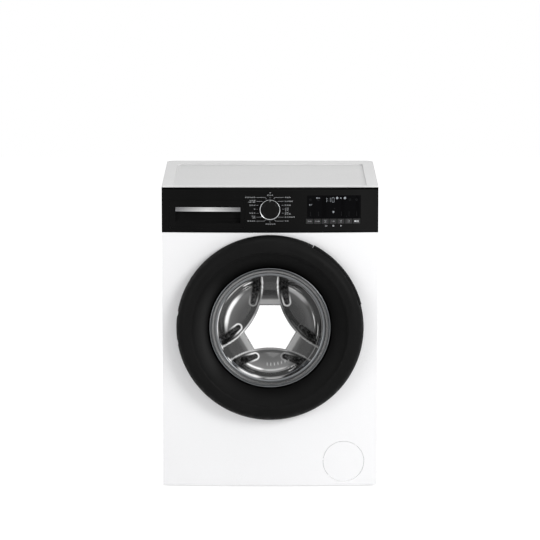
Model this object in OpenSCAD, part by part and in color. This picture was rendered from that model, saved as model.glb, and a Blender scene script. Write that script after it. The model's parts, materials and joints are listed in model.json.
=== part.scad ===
/* [Cabinet] */
// Width over the side walls
body_w = 597; // [585:1:605]
// Depth of the worktop, front edge to back edge
body_d = 545; // [535:1:600]
// Height from the floor to the worktop's rim
body_h = 848; // [840:1:870]
// How far the front bulges forward at its middle
front_bow = 10; // [7:1:12]
// Thickness of the steel sheets
sheet_t = 1.2; // [0.8:0.1:1.6]
// Height of the cabinet's lower edge above the floor
floor_gap = 7; // [5:1:12]
// Depth of the front panel's folded side edges
fold_d = 18; // [14:1:24]
// Width of the flanges folded in along the cabinet's edges
flange_w = 22; // [18:1:28]
// How far the back wall sits in from the worktop's back edge
rear_inset = 14; // [12:1:20]

/* [Worktop] */
// Thickness of the worktop's rim
top_t = 20; // [16:1:26]
// Rim left showing above the control fascia
top_lip = 4.5; // [3:0.5:6]
// Width of the rim along each side
top_side = 32; // [24:1:40]
// Width of the rim along the back
top_rear = 75; // [60:1:90]
// Width of the rim along the front
top_front = 12; // [10:1:16]
// Depth of the sunk panel below the rim
top_sink = 3; // [2:0.5:4]
// Thickness of the board under the rim
board_t = 11; // [9:1:13]

/* [Control fascia] */
// Height of the fascia
fascia_h = 124.5; // [120:0.5:130]
// Depth of the fascia's end walls
fascia_d = 30; // [26:1:34]
// Wall of the fascia moulding
fascia_t = 2.5; // [2:0.25:3]
// Diameter of the programme dial
dial_d = 56.6; // [50:0.2:60]
// Height of the dial's axis above the fascia's lower edge
dial_up = 65; // [59:1:71]
// How far the dial stands forward
dial_proud = 14; // [10:1:18]
// Width of the dial's bright ring
dial_ring_w = 4.4; // [3:0.2:5]
// Width of the display window
display_w = 148; // [130:1:150]
// Height of the display window
display_h = 64; // [56:1:65]
// Middle of the display window across the machine
display_x = 176; // [170:1:180]
// Width of a push key
key_w = 19; // [16:0.5:19.5]
// Height of a push key
key_h = 13.5; // [11:0.5:14]
// Distance between neighbouring keys
key_pitch = 21.6; // [21:0.1:22]
// Height of the row of keys above the fascia's lower edge
key_up = 31.3; // [29:0.1:32]
// Travel of a key when it is pressed
key_travel = 1.2; // [0.8:0.1:1.4]

/* [Detergent drawer] */
// Width of the drawer's front
drawer_w = 206; // [200:1:210]
// Middle of the drawer across the machine
drawer_x = -173; // [-175:1:-171]
// Height of the drawer front's lower edge above the fascia's
drawer_up = 12; // [10:1:14]
// Height of the drawer's front
drawer_h = 77; // [74:1:80]
// Length of the tray behind the drawer's front
tray_l = 225; // [200:1:250]
// Height of the bright grip bar
grip_h = 14.4; // [12:0.2:16]
// Length of the bright grip bar
grip_w = 179; // [160:1:182]
// Height of the finger recess under the bar
recess_h = 32; // [28:1:34]
// Depth of the finger recess
recess_d = 18; // [15:1:20]

/* [Door] */
// Diameter of the door ring
door_d = 518; // [510:1:522]
// Height of the door's middle above the floor
door_z = 455; // [452:1:458]
// How far the ring stands forward of the front panel
door_proud = 50; // [46:1:52]
// Diameter of the ring's flat crest where it turns into the funnel
crest_d = 424; // [416:1:430]
// Diameter of the window in the door
window_d = 336; // [330:1:340]
// Wall of the door mouldings
ring_t = 3; // [2.5:0.25:3.5]
// How far the glass bowl reaches back from its flange
bowl_depth = 72; // [60:1:76]
// How far the bowl's nose sits below the middle of its flange
nose_drop = 13; // [8:1:14]
// Thickness of the glass
glass_t = 5; // [4:0.5:6]
// Distance from the nose's middle to each of its three straight edges
nose_edge = 68; // [62:1:72]
// Distance from the nose's middle to the middle of each scoop
nose_waist = 50; // [44:1:54]
// Depth of the round recess behind the door
dish_depth = 20; // [18:1:22]
// Diameter of the opening into the drum
mouth_d = 344; // [340:1:348]
// Width of the pull handle's arc in degrees
handle_arc = 47; // [40:1:50]
// Angle of the handle's middle above the horizontal
handle_a = 38.5; // [34:0.5:42]
// Diameter of the hinge pin
pin_d = 8; // [7:0.5:9]

/* [Drum and tub] */
// Diameter of the drum
drum_d = 480; // [470:2:486]
// Depth of the drum
drum_l = 300; // [280:5:305]
// Outer diameter of the tub
tub_d = 530; // [526:1:532]
// Depth of the tub beyond the drum's
tub_room = 72; // [68:1:76]
// Wall of the tub
tub_t = 4; // [3:0.5:5]
// Thickness of the drum's sheet
drum_t = 1.2; // [0.8:0.1:1.5]
// Diameter of the drum's holes
hole_d = 9; // [6:0.5:11]
// Diameter of the drum shaft
shaft_d = 30; // [28:1:34]
// Diameter of the drum's belt pulley
pulley_d = 280; // [260:2:290]
// Diameter of the motor's belt pulley
motor_pulley_d = 20; // [18:1:24]

/* [Feet and filter] */
// Distance of the feet in from the side walls
foot_in = 36.5; // [32.5:1:43.5]
// Diameter of a foot's pad
foot_d = 44; // [38:1:48]
// Diameter of a foot's screw
foot_screw_d = 10; // [8:1:12]
// Diameter of the round filter cover
cover_d = 113; // [108:1:116]
// Middle of the filter cover across the machine
cover_x = 204.5; // [202:0.5:207]
// Height of the filter cover's middle above the floor
cover_z = 74.5; // [73:0.5:78]
// Diameter of the filter's screw plug
plug_d = 58; // [50:1:62]

/* [Hidden] */

// ---- clearances ----
gap = 0.4;                                  // between pieces that move past each other
seam = 0.8;                                 // shut lines between panels
slip = 0.05;                                // radial clearance of a turning fit
eps = 0.01;                                 // overlap that makes a cut or a weld clean

// ---- main planes: x across, y front to back, z up ----
y_front = -(body_d + front_bow + door_proud) / 2 + front_bow + door_proud;  // worktop's front edge
y_mid = y_front - front_bow;                // foremost line of the bowed front
y_rear = y_front + body_d;                  // worktop's back edge
y_wall = y_rear - rear_inset;               // outer face of the back wall
half_w = body_w / 2;
bow_r = half_w * half_w / (2 * front_bow) + front_bow / 2;  // radius of the bowed front
wrap_top = body_h - top_t;
fascia_top = body_h - top_lip;
fascia_z = fascia_top - fascia_h;
dial_z = fascia_z + dial_up;
key_z = fascia_z + key_up;
drawer_z = fascia_z + drawer_up;
shoulder_r = front_bow + 1.5;               // roll of the fascia's upper edge
panel_top = fascia_z - seam;
ring_r = door_d / 2;
crest_r = crest_d / 2;
window_r = window_d / 2;
mouth_r = mouth_d / 2;

// y of the bowed front at a distance x from the middle
function bow_y(x) = y_mid + bow_r - sqrt(bow_r * bow_r - x * x);

// ---- curve helpers ----
// points on an arc, angles a0 to a1 in n steps
function arc(c, r, a0, a1, n) = [for (i = [0:n]) let (a = a0 + (a1 - a0) * i / n) c + r * [cos(a), sin(a)]];
// points on an ellipse quarter
function oval(c, rx, ry, a0, a1, n) =
    [for (i = [0:n]) let (a = a0 + (a1 - a0) * i / n) c + [rx * cos(a), ry * sin(a)]];
// quadratic curve from a to c, pulled towards b
function bend(a, b, c, n) =
    [for (i = [0:n]) let (t = i / n) (1 - t) * (1 - t) * a + 2 * t * (1 - t) * b + t * t * c];
// left-hand normal of the stretch from a to b
function side(a, b) = let (v = b - a) [-v[1], v[0]] / norm(v);
// a path moved sideways by d
function beside(p, d) = [for (i = [0:len(p) - 1])
    p[i] + d * side(p[max(i - 1, 0)], p[min(i + 1, len(p) - 1)])];
function backwards(p) = [for (i = [len(p) - 1:-1:0]) p[i]];
// closed outline of a wall of thickness d along a path
function wall(p, d) = concat(p, backwards(beside(p, d)));

// ---- placing helpers ----
// door axis: local z runs forward from the bowed front's foremost line
module on_door() translate([0, y_mid, door_z]) rotate([90, 0, 0]) children();
// axis pointing forward through a point on the front
module forward(x, y, z) translate([x, y, z]) rotate([90, 0, 0]) children();
// axis pointing back through a point
module rearward(x, y, z) translate([x, y, z]) rotate([-90, 0, 0]) children();
module mirrored_x() { children(); mirror([1, 0, 0]) children(); }
// block between two corners
module block(a, b) translate(a) cube(b - a);
// solid in front of the bowed surface moved inwards by inset
module bow_body(inset, z0, z1)
    translate([0, y_mid + bow_r, z0]) cylinder(r = bow_r - inset, h = z1 - z0, $fn = 1080);
// plate that follows the bowed front, from inset a to inset b, x0..x1, z0..z1
module bow_plate(a, b, x0, x1, z0, z1)
    intersection() {
        difference() {
            bow_body(a, z0, z1);
            bow_body(b, z0 - 1, z1 + 1);
        }
        block([x0, y_mid - 5, z0 - 1], [x1, 0, z1 + 1]);
    }
module ring_of(r0, r1, z0, z1, fn = 96)
    translate([0, 0, z0]) difference() {
        cylinder(r = r1, h = z1 - z0, $fn = fn);
        translate([0, 0, -1]) cylinder(r = r0, h = z1 - z0 + 2, $fn = fn);
    }
module rounded_rect(x0, x1, y0, y1, r_front, r_back)
    union() {
        translate([x0, y0 + r_front]) square([x1 - x0, y1 - y0 - r_front - r_back]);
        translate([x0 + r_front, y0]) square([x1 - x0 - 2 * r_front, r_front + 1]);
        translate([x0 + r_back, y1 - r_back - 1]) square([x1 - x0 - 2 * r_back, r_back + 1]);
        for (x = [x0 + r_front, x1 - r_front]) translate([x, y0 + r_front]) circle(r = r_front, $fn = 32);
        for (x = [x0 + r_back, x1 - r_back]) translate([x, y1 - r_back]) circle(r = r_back, $fn = 48);
    }

// ================= cabinet =================
side_y0 = y_front + fold_d + 0.4;           // front edge of the side walls
side_y1 = y_wall - sheet_t;                 // back edge of the side walls
press_in = 4;                               // depth of the pressed field in each side wall
press_edge = 8;                             // width of the pressing's sloped edge
press_margin = 55;                          // plain border round the pressing

// sloped-edge block for the pressed field, s outwards from the field's floor
module pressing(grow, depth) {
    py0 = side_y0 + press_margin;
    py1 = side_y1 - press_margin;
    pz0 = floor_gap + press_margin + 30;
    pz1 = wrap_top - press_margin - 60;
    k = press_edge;
    g = grow;
    intersection() {
        translate([0, 0, pz0 - g]) linear_extrude(pz1 - pz0 + 2 * g)
            polygon([[half_w + 1, py0 - g], [half_w + 1, py1 + g], [half_w, py1 + g],
                     [half_w - depth, py1 - k + g], [half_w - depth, py0 + k - g], [half_w, py0 - g]]);
        translate([0, py1 + g, 0]) rotate([90, 0, 0]) linear_extrude(py1 - py0 + 2 * g)
            polygon([[half_w + 1, pz0 - g], [half_w, pz0 - g], [half_w - depth, pz0 + k - g],
                     [half_w - depth, pz1 - k + g], [half_w, pz1 + g], [half_w + 1, pz1 + g]]);
    }
}
module side_panels() color("white") mirrored_x() difference() {
    union() {
        block([half_w - sheet_t, side_y0, floor_gap], [half_w, side_y1, wrap_top]);
        intersection() {
            pressing(sheet_t / 2, press_in + sheet_t);
            block([0, side_y0, 0], [half_w, side_y1, wrap_top]);
        }
        // flanges folded in at the front, back and top
        block([half_w - flange_w, side_y0, floor_gap + 40], [half_w - eps, side_y0 + sheet_t, fascia_z - 4]);
        block([half_w - flange_w, side_y1 - sheet_t, floor_gap], [half_w - eps, side_y1, wrap_top]);
        block([half_w - flange_w, y_front + fascia_d + 1, wrap_top - sheet_t],
              [half_w - eps, side_y1, wrap_top]);
    }
    pressing(0, press_in);
    // room for the fascia's end walls
    block([0, y_front - 1, fascia_z - 2], [half_w + 1, y_front + fascia_d + 0.4, wrap_top + 1]);
}

bolt_dx = 430;                              // transport bolt holes, across
bolt_dz = 300;                              // transport bolt holes, up
bolt_z = door_z - 125;                      // height of the lower pair
bolt_hole_d = 24;
bulge_r = 175;                              // pressed dome that clears the drum pulley
bulge_h = 10;
port_x = half_w - 83.5;                     // water inlet, seen from the back at the left
port_z = wrap_top - 38;
gland_x = half_w - 63.5;
gland_z = wrap_top - 103;
beads = [120, 175, wrap_top - 128];         // heights of the stiffening beads
module rear_panel() color("white") difference() {
    union() {
        block([-half_w + 3, y_wall - sheet_t, floor_gap + 1], [half_w - 3, y_wall, wrap_top - 1]);
        rearward(0, y_wall - sheet_t, door_z)
            cylinder(r1 = bulge_r + 8, r2 = bulge_r, h = bulge_h + sheet_t, $fn = 120);
        // stiffening beads
        for (z = beads) block([-180, y_wall - eps, z], [180, y_wall + 3, z + 14]);
    }
    rearward(0, y_wall - sheet_t - eps, door_z)
        cylinder(r1 = bulge_r + 8 - sheet_t, r2 = bulge_r - sheet_t, h = bulge_h, $fn = 120);
    for (z = beads)
        block([-180 + sheet_t, y_wall - sheet_t - 1, z + sheet_t], [180 - sheet_t, y_wall + 3 - sheet_t, z + 14 - sheet_t]);
    for (x = [-bolt_dx / 2, bolt_dx / 2], z = [bolt_z, bolt_z + bolt_dz])
        rearward(x, y_wall - 10, z) cylinder(d = bolt_hole_d, h = 40, $fn = 48);
    rearward(port_x, y_wall - 10, port_z) cylinder(r = 17, h = 40, $fn = 48);
    rearward(drain_x, y_wall - 10, drain_z) cylinder(r = 12, h = 40, $fn = 48);
    rearward(gland_x, y_wall - 10, gland_z) cylinder(r = 11, h = 40, $fn = 48);
}

dish_r = 240;                               // round recess behind the door, at the front
dish_floor_r = 229;                         // and at its floor
dish_lip = 9;                               // collar round the mouth, running back
hook_x = 203;                               // where the door's hook goes in
slot_w = 24;
slot_h = 46;
module front_panel() color("white") difference() {
    union() {
        difference() {
            bow_plate(0, sheet_t, -half_w, half_w, floor_gap, panel_top);
            on_door() translate([0, 0, -60]) cylinder(r = dish_r, h = 90, $fn = 180);
        }
        // round recess with its collar round the mouth
        intersection() {
            on_door() rotate_extrude($fn = 180) polygon([
                [dish_floor_r, -dish_depth], [dish_r, -front_bow + 2], [dish_r, 5], [dish_r + sheet_t, 5],
                [dish_r + sheet_t, -front_bow + 2 - sheet_t], [dish_floor_r + sheet_t / 2, -dish_depth - sheet_t],
                [mouth_r + sheet_t, -dish_depth - sheet_t], [mouth_r + sheet_t, -dish_depth - dish_lip],
                [mouth_r, -dish_depth - dish_lip], [mouth_r, -dish_depth]]);
            bow_body(0, floor_gap, panel_top);
        }
        // folded edges at the sides, top and bottom
        mirrored_x() block([half_w - sheet_t, bow_y(half_w) + 0.02, floor_gap],
                           [half_w, y_front + fold_d, panel_top]);
        intersection() {
            bow_body(0, 0, body_h);
            union() {
                block([-half_w, y_mid - 1, panel_top - sheet_t], [half_w, y_front + fold_d, panel_top]);
                block([-half_w, y_mid - 1, floor_gap], [half_w, y_front + fold_d, floor_gap + sheet_t]);
            }
        }
    }
    // filter opening and the lock's slot
    forward(cover_x, y_front + 12, cover_z) cylinder(d = cover_d + 2 * seam, h = 40, $fn = 96);
    on_door() translate([hook_x - slot_w / 2, -slot_h / 2, -dish_depth - 5]) cube([slot_w, slot_h, 10]);
}

base_z0 = 30;
base_z1 = 62;
base_t = 3;
beam_w = 46;
base_x1 = half_w - sheet_t;
base_y0 = side_y0 + 6;
base_y1 = side_y1 - sheet_t;
foot_y0 = y_front + 62;                     // front pair of feet
foot_y1 = y_rear - 75;                      // back pair
damper_x = 150;                             // lower ends of the dampers
damper_y = 20;
damper_pin_d = 10;
damper_pin_z = base_z0 + 20;
pump_cut = plug_d / 2 + 12;                 // half width of the room left for the drain pump
module base_ring(in0, in1, z0, z1) difference() {
    block([-base_x1 + in0, base_y0 + in0, z0], [base_x1 - in0, base_y1 - in0, z1]);
    block([-base_x1 + in1, base_y0 + in1, z0 - 1], [base_x1 - in1, base_y1 - in1, z1 + 1]);
}
module base_frame() color("dimgray") difference() {
    union() {
        // four beams, hollow from below
        difference() {
            base_ring(0, beam_w, base_z0, base_z1);
            base_ring(base_t, beam_w - base_t, base_z0 - 1, base_z1 - base_t);
        }
        mirrored_x() for (y = [foot_y0, foot_y1]) translate([foot_x, y, base_z0])
            cylinder(d = foot_screw_d + 16, h = base_z1 - base_z0 - eps, $fn = 48);
        mirrored_x() for (y = [-100:60:140])
            block([base_x1 - beam_w + 1, y, base_z0], [base_x1 - 1, y + base_t, base_z1 - eps]);
        for (x = [-150:75:75])
            for (y = [base_y0, base_y1 - beam_w])
                block([x, y + 1, base_z0], [x + base_t, y + beam_w - 1, base_z1 - eps]);
        block([cover_x - pump_cut, base_y0 + 1, base_z0], [cover_x + pump_cut, base_y0 + beam_w - 1, base_z0 + base_t]);
        // cross channel with the ears that carry the dampers
        block([-base_x1 + beam_w - 1, damper_y - 24, base_z0], [base_x1 - beam_w + 1, damper_y + 24, base_z0 + base_t]);
        for (y = [damper_y - 24, damper_y + 24 - base_t])
            block([-base_x1 + beam_w - 1, y, base_z0], [base_x1 - beam_w + 1, y + base_t, base_z0 + 12]);
        for (x = [-damper_x, damper_x], y = [damper_y - 17, damper_y + 17 - base_t])
            block([x - 13, y, base_z0], [x + 13, y + base_t, damper_pin_z + 12]);
        for (x = [-damper_x, damper_x])
            rearward(x, damper_y - 17, damper_pin_z) cylinder(d = damper_pin_d, h = 34, $fn = 32);
    }
    mirrored_x() for (y = [foot_y0, foot_y1]) translate([foot_x, y, base_z0 - 1])
        cylinder(d = foot_screw_d + 2 * slip, h = base_z1 - base_z0 + 2, $fn = 48);
    // room for the drain pump's filter at the front, above a floor that carries the pump
    block([cover_x - pump_cut, base_y0 - 1, cover_z - pump_cut], [cover_x + pump_cut, base_y0 + beam_w + 1, base_z1 + 1]);
}

brace_y = 30;
brace_w = 44;
brace_h = 34;
brace_t = 1.5;
spring_x = half_w - 83.5;
spring_wire = 5;
spring_hole = spring_wire + 0.8;
brace_top = wrap_top - sheet_t;
module cross_brace() color("silver") difference() {
    union() {
        block([-half_w + sheet_t, brace_y - brace_w / 2, brace_top - brace_h],
              [half_w - sheet_t, brace_y + brace_w / 2, brace_top - brace_h + brace_t]);
        for (y = [brace_y - brace_w / 2, brace_y + brace_w / 2 - brace_t])
            block([-half_w + sheet_t, y, brace_top - brace_h], [half_w - sheet_t, y + brace_t, brace_top]);
    }
    for (x = [-spring_x, spring_x]) translate([x, brace_y, brace_top - brace_h - 5])
        cylinder(d = spring_hole, h = 20, $fn = 32);
    for (x = [-120, 0, 120]) translate([x, brace_y, brace_top - brace_h - 5]) cylinder(d = 22, h = 20, $fn = 32);
}

// ---- feet ----
foot_x = half_w - foot_in;
pad_h = 12;
nut_h = 6;
nut_z = base_z0 - nut_h;
module feet() color("dimgray") mirrored_x() for (y = [foot_y0, foot_y1]) translate([foot_x, y, 0]) {
    cylinder(d1 = foot_d - 4, d2 = foot_d, h = 2, $fn = 64);
    translate([0, 0, 2 - eps]) cylinder(d = foot_d, h = pad_h - 4, $fn = 64);
    translate([0, 0, pad_h - 2 - 2 * eps]) cylinder(d1 = foot_d, d2 = foot_d - 12, h = 3, $fn = 64);
    translate([0, 0, pad_h]) cylinder(d = 19, h = 6, $fn = 6);
    translate([0, 0, pad_h]) cylinder(d = foot_screw_d, h = base_z1 - pad_h - 6, $fn = 48);
}
module foot_locknuts() color("silver") mirrored_x() for (y = [foot_y0, foot_y1]) translate([foot_x, y, nut_z])
    difference() {
        cylinder(d = 20, h = nut_h, $fn = 6);
        translate([0, 0, -1]) cylinder(d = foot_screw_d + 2 * slip, h = nut_h + 2, $fn = 48);
    }

// ================= worktop =================
corner_front = 5;
corner_rear = 26;
opening_r = 14;
module top_opening(grow, r_back)
    rounded_rect(-half_w + top_side - grow, half_w - top_side + grow,
                 y_front + top_front - grow, y_rear - top_rear + grow, 3, r_back);
module top_frame() color("white") difference() {
    translate([0, 0, wrap_top]) linear_extrude(top_t)
        rounded_rect(-half_w, half_w, y_front, y_rear, corner_front, corner_rear);
    translate([0, 0, wrap_top - 1]) linear_extrude(top_t + 2) top_opening(0, opening_r);
    // seat of the board
    translate([0, 0, wrap_top - 1]) linear_extrude(top_t + 1 - top_sink - 1.5) top_opening(8, opening_r + 4);
    // room for the fascia under the front rim
    block([-half_w - 1, y_front - 1, wrap_top - 1], [half_w + 1, y_front + fascia_d, fascia_top]);
    // hollow underside of the back margin
    block([-half_w + 20, y_rear - top_rear + 12, wrap_top - 1], [half_w - 20, y_rear - 12, body_h - 5]);
}
board_top = body_h - top_sink - 1.5;
module top_board() color("gainsboro") difference() {
    translate([0, 0, board_top - board_t]) linear_extrude(board_t)
        top_opening(8, opening_r + 4);
    block([-half_w - 1, y_front - 1, wrap_top - 5], [half_w + 1, y_front + fascia_d, fascia_top]);
}

// ================= control fascia =================
// end profile of the fascia, drawn in y and z, pulled in by inset
function fascia_outline(inset, back) = concat(
    [[back, fascia_z + inset], [y_mid - 5, fascia_z + inset], [y_mid - 5, fascia_top - shoulder_r]],
    arc([y_front + 1.5, fascia_top - shoulder_r], shoulder_r - inset, 180, 90, 16),
    [[back, fascia_top - inset]]);
module fascia_solid(inset, back)
    intersection() {
        translate([half_w - inset, 0, 0]) rotate([90, 0, -90])
            mirror([1, 0, 0]) linear_extrude(body_w - 2 * inset) polygon(fascia_outline(inset, back));
        bow_body(inset, fascia_z - 1, fascia_top + 1);
    }
drawer_x0 = drawer_x - drawer_w / 2;
drawer_x1 = drawer_x + drawer_w / 2;
drawer_top = drawer_z + drawer_h;
display_x0 = display_x - display_w / 2;
display_z0 = fascia_z + 39;
display_z1 = display_z0 + display_h;
keys_x = display_x - 2.4;                   // middle of the row of keys
function key_x(i) = keys_x + (i - 4) * key_pitch;
shaft_hole_d = 16;
module fascia_window(x0, x1, z0, z1) block([x0, y_mid - 5, z0], [x1, y_front + 12, z1]);
module control_fascia() color([0.08, 0.08, 0.08]) difference() {
    union() {
        difference() {
            fascia_solid(0, y_front + fascia_d);
            fascia_solid(fascia_t, y_front + fascia_d + 5);
        }
        // collar behind the dial and bosses for the control board
        forward(0, board_y - 0.01, dial_z) cylinder(d = shaft_hole_d + 8, h = board_y - bow_y(0) - fascia_t + 0.5, $fn = 64);
        for (x = [board_x0 + 10, 92, board_x1 - 10], z = [fascia_z + 12, fascia_top - 12])
            forward(x, board_y, z) cylinder(d = 8, h = board_y - bow_y(x) - fascia_t / 2, $fn = 32);
        // ribs between the drawer's opening and the controls
        for (x = [drawer_x1 + 4, 60])
            bow_plate(fascia_t / 2, 15, x, x + 2, fascia_z + 1, fascia_top - shoulder_r);
    }
    fascia_window(drawer_x0 - seam / 2, drawer_x1 + seam / 2, drawer_z - seam / 2, drawer_top + seam / 2);
    fascia_window(display_x0, display_x0 + display_w, display_z0, display_z1);
    for (i = [1:7]) fascia_window(key_x(i) - key_w / 2 - gap, key_x(i) + key_w / 2 + gap,
                                  key_z - key_h / 2 - gap, key_z + key_h / 2 + gap);
    forward(0, y_front + fascia_d, dial_z) cylinder(d = shaft_hole_d, h = 60, $fn = 64);
}
window_t = 2;
module display_window() color([0.05, 0.05, 0.06]) union() {
    bow_plate(0, window_t, display_x0 + 0.15, display_x0 + display_w - 0.15, display_z0 + 0.15, display_z1 - 0.15);
    // flange behind the fascia's wall
    bow_plate(fascia_t + 0.1, fascia_t + 1.6, display_x0 - 4, display_x0 + display_w + 4, display_z0 + 0.2, display_z1 + 4);
    bow_plate(window_t - eps, fascia_t + 0.1 + eps, display_x0 + 1, display_x0 + display_w - 1, display_z0 + 1, display_z1 - 1);
}

// ---- control board ----
board_y = y_front + 12;                     // front face of the circuit board
board_x0 = -40;
board_x1 = half_w - 26.5;
pcb_t = 1.6;
switch_gap = 0.35;                          // between a key's stem and its switch at full press
key_back = 7.5;                             // depth of a key behind the fascia's front
module control_board() color("darkgreen") union() {
    difference() {
        block([board_x0, board_y, fascia_z + 5], [board_x1, board_y + pcb_t, fascia_top - 5]);
        forward(0, board_y + 5, dial_z) cylinder(d = 10, h = 10, $fn = 48);
    }
    // one switch behind each key
    for (i = [1:7]) {
        sw_y = bow_y(key_x(i) + key_w / 2) + key_back + key_travel + switch_gap;
        block([key_x(i) - 3, sw_y, key_z - 3], [key_x(i) + 3, board_y + eps, key_z + 3]);
    }
    // display module
    block([display_x0 + 20, board_y - 4, display_z0 + 10], [display_x0 + display_w - 20, board_y + eps, display_z1 - 6]);
    // selector switch behind the dial
    difference() {
        block([-14, board_y + pcb_t - eps, dial_z - 14], [14, board_y + 12, dial_z + 14]);
        forward(0, board_y + 20, dial_z) cylinder(d = 6 + 2 * slip, h = 30, $fn = 48);
    }
}

// ---- programme dial ----
dial_r = dial_d / 2;
dial_y0 = y_mid - 0.6;                      // back of the dial
dial_y1 = dial_y0 - dial_proud;
dial_land = 2.2;                            // step that carries the bright ring
module dial_knob() color([0.12, 0.12, 0.12]) difference() {
    union() {
        // cap with a softly domed face
        translate([0, dial_y0, dial_z]) rotate([90, 0, 0]) rotate_extrude($fn = 128) polygon(concat(
            [[0, 0], [dial_r - 0.8, 0], [dial_r, 0.8], [dial_r, dial_proud - dial_land - 3],
             [dial_r - dial_ring_w, dial_proud - dial_land - 3 + eps],
             [dial_r - dial_ring_w, dial_proud - 1.6]],
            arc([dial_r - dial_ring_w - 1.2, dial_proud - 1.8], 1.2, 0, 80, 4),
            [[0, dial_proud]]));
        forward(0, board_y + 10, dial_z) cylinder(d = 6, h = board_y + 10 - dial_y0 + 1, $fn = 48);
        forward(0, bow_y(0) + 8, dial_z) cylinder(d = shaft_hole_d - 1.2, h = 9, $fn = 64);
    }
    // hollow back of the cap
    translate([0, dial_y0 + eps, dial_z]) rotate([90, 0, 0])
        ring_of(shaft_hole_d / 2 + 1, dial_r - dial_ring_w - 2.5, -1, dial_proud - 5, 96);
}
// bright bevelled ring, open at the top where the pointer shows
module dial_ring() color("silver") difference() {
    translate([0, dial_y0, dial_z]) rotate([90, 0, 0]) rotate_extrude($fn = 128) polygon([
        [dial_r - dial_ring_w + 0.02, dial_proud - dial_land - 2.98], [dial_r, dial_proud - dial_land - 2.98],
        [dial_r, dial_proud - dial_land - 1.2], [dial_r - 1.2, dial_proud - dial_land],
        [dial_r - dial_ring_w + 1, dial_proud - 0.6], [dial_r - dial_ring_w + 0.02, dial_proud - 0.9]]);
    block([-1.1, dial_y1 - 2, dial_z + dial_r - dial_ring_w - 1], [1.1, dial_y0, dial_z + dial_r + 1]);
}

// ---- push keys ----
key_proud = 0.8;
module push_key(i) color([0.22, 0.22, 0.23]) {
    x0 = key_x(i) - key_w / 2;
    z0 = key_z - key_h / 2;
    bow_plate(-key_proud, 3, x0, x0 + key_w, z0, z0 + key_h);
    // stem that reaches the switch
    block([key_x(i) - 2, bow_y(key_x(i)) + 1, key_z - 2],
          [key_x(i) + 2, bow_y(key_x(i) + key_w / 2) + key_back, key_z + 2]);
}
module key_1() push_key(1);
module key_2() push_key(2);
module key_3() push_key(3);
module key_4() push_key(4);
module key_5() push_key(5);
module key_6() push_key(6);
module key_7() push_key(7);

// ================= detergent drawer =================
grip_x0 = drawer_x0 + 15.6;
grip_x1 = grip_x0 + grip_w;
grip_z0 = drawer_z + 46;
grip_y1 = 3;                                // how far the bar stands forward
recess_z0 = grip_z0 - recess_h;
recess_y = y_mid + recess_d;                // back of the finger recess
front_t = 3;
module drawer_front() color([0.08, 0.08, 0.08]) difference() {
    union() {
        bow_plate(0, front_t, drawer_x0, drawer_x1, drawer_z, drawer_top);
        // walls of the finger recess
        intersection() {
            block([grip_x0 - front_t, y_mid, recess_z0 - front_t],
                  [grip_x1 + front_t, recess_y + front_t, grip_z0 + grip_h]);
            bow_body(1, fascia_z, fascia_top);
        }
        // wings that carry the tray
        for (x = [drawer_x0 + 8, drawer_x1 - 11])
            block([x, bow_y(x) + 1.5, drawer_z + 8], [x + 3, recess_y + front_t, drawer_top - 16]);
    }
    // the recess itself, open to the front and up behind the bar, with a sloped floor
    translate([grip_x0, 0, 0]) rotate([90, 0, 90]) linear_extrude(grip_w) polygon([
        [y_mid - 3, recess_z0], [y_front, recess_z0], [recess_y - 4, recess_z0 + 5], [recess_y, recess_z0 + 12],
        [recess_y, grip_z0 + grip_h - 5], [y_mid + 6.5, grip_z0 + grip_h - 3], [y_mid + 6.5, grip_z0],
        [y_mid - 3, grip_z0]]);
    // seat of the bar
    bow_plate(-3, 1.22, grip_x0 - 0.1, grip_x1 + 0.1, grip_z0 - 0.1, grip_z0 + grip_h + 0.1);
}
module drawer_grip_bar() color("silver")
    bow_plate(-grip_y1, 1.2, grip_x0, grip_x1, grip_z0, grip_z0 + grip_h);
tray_x0 = drawer_x0 + 10;
tray_x1 = drawer_x1 - 10;
tray_y0 = recess_y + front_t;
tray_y1 = tray_y0 + tray_l - recess_d;
tray_z0 = drawer_z + 8;
tray_z1 = drawer_top - 12;
tray_t = 2;
main_w = 82;                                // main-wash compartment
soft_w = 50;                                // softener compartment
module drawer_tray() color("whitesmoke") difference() {
    block([tray_x0, tray_y0, tray_z0], [tray_x1, tray_y1, tray_z1]);
    // three compartments: softener, main wash, prewash
    for (c = [[tray_x0 + tray_t, tray_x0 + soft_w], [tray_x0 + soft_w + tray_t, tray_x0 + soft_w + tray_t + main_w],
              [tray_x0 + soft_w + 2 * tray_t + main_w, tray_x1 - tray_t]])
        block([c[0], tray_y0 + tray_t, tray_z0 + tray_t], [c[1], tray_y1 - tray_t, tray_z1 + 1]);
    // outlets at the back of the two powder compartments
    block([tray_x0 + soft_w + tray_t + 6, tray_y1 - tray_t - 1, tray_z0 + tray_t],
          [tray_x0 + soft_w + tray_t + main_w - 6, tray_y1 + 1, tray_z0 + 14]);
    block([tray_x0 + soft_w + 2 * tray_t + main_w + 4, tray_y1 - tray_t - 1, tray_z0 + tray_t],
          [tray_x1 - tray_t - 4, tray_y1 + 1, tray_z0 + 14]);
}
house_t = 2.5;
house_y0 = y_front + fascia_d - 6;
house_y1 = tray_y1 + 22;
house_x0 = drawer_x0 + 2;
house_x1 = drawer_x1 - 2;
house_z0 = drawer_z + 1;
house_z1 = drawer_top - 2;
fill_x = house_x1 - 40;                     // outlet to the tub
fill_y = house_y1 - 30;
spout_drop = 30;                            // height of the water inlet below the housing's top
module dispenser_housing() color("whitesmoke") {
    housing_shell();
    // rails that carry the tray
    for (x = [tray_x0 + 10, tray_x1 - 16])
        block([x, house_y0 + 1, house_z0 + 1], [x + 6, house_y1 - 1, tray_z0 - gap + 0.1]);
}
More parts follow.
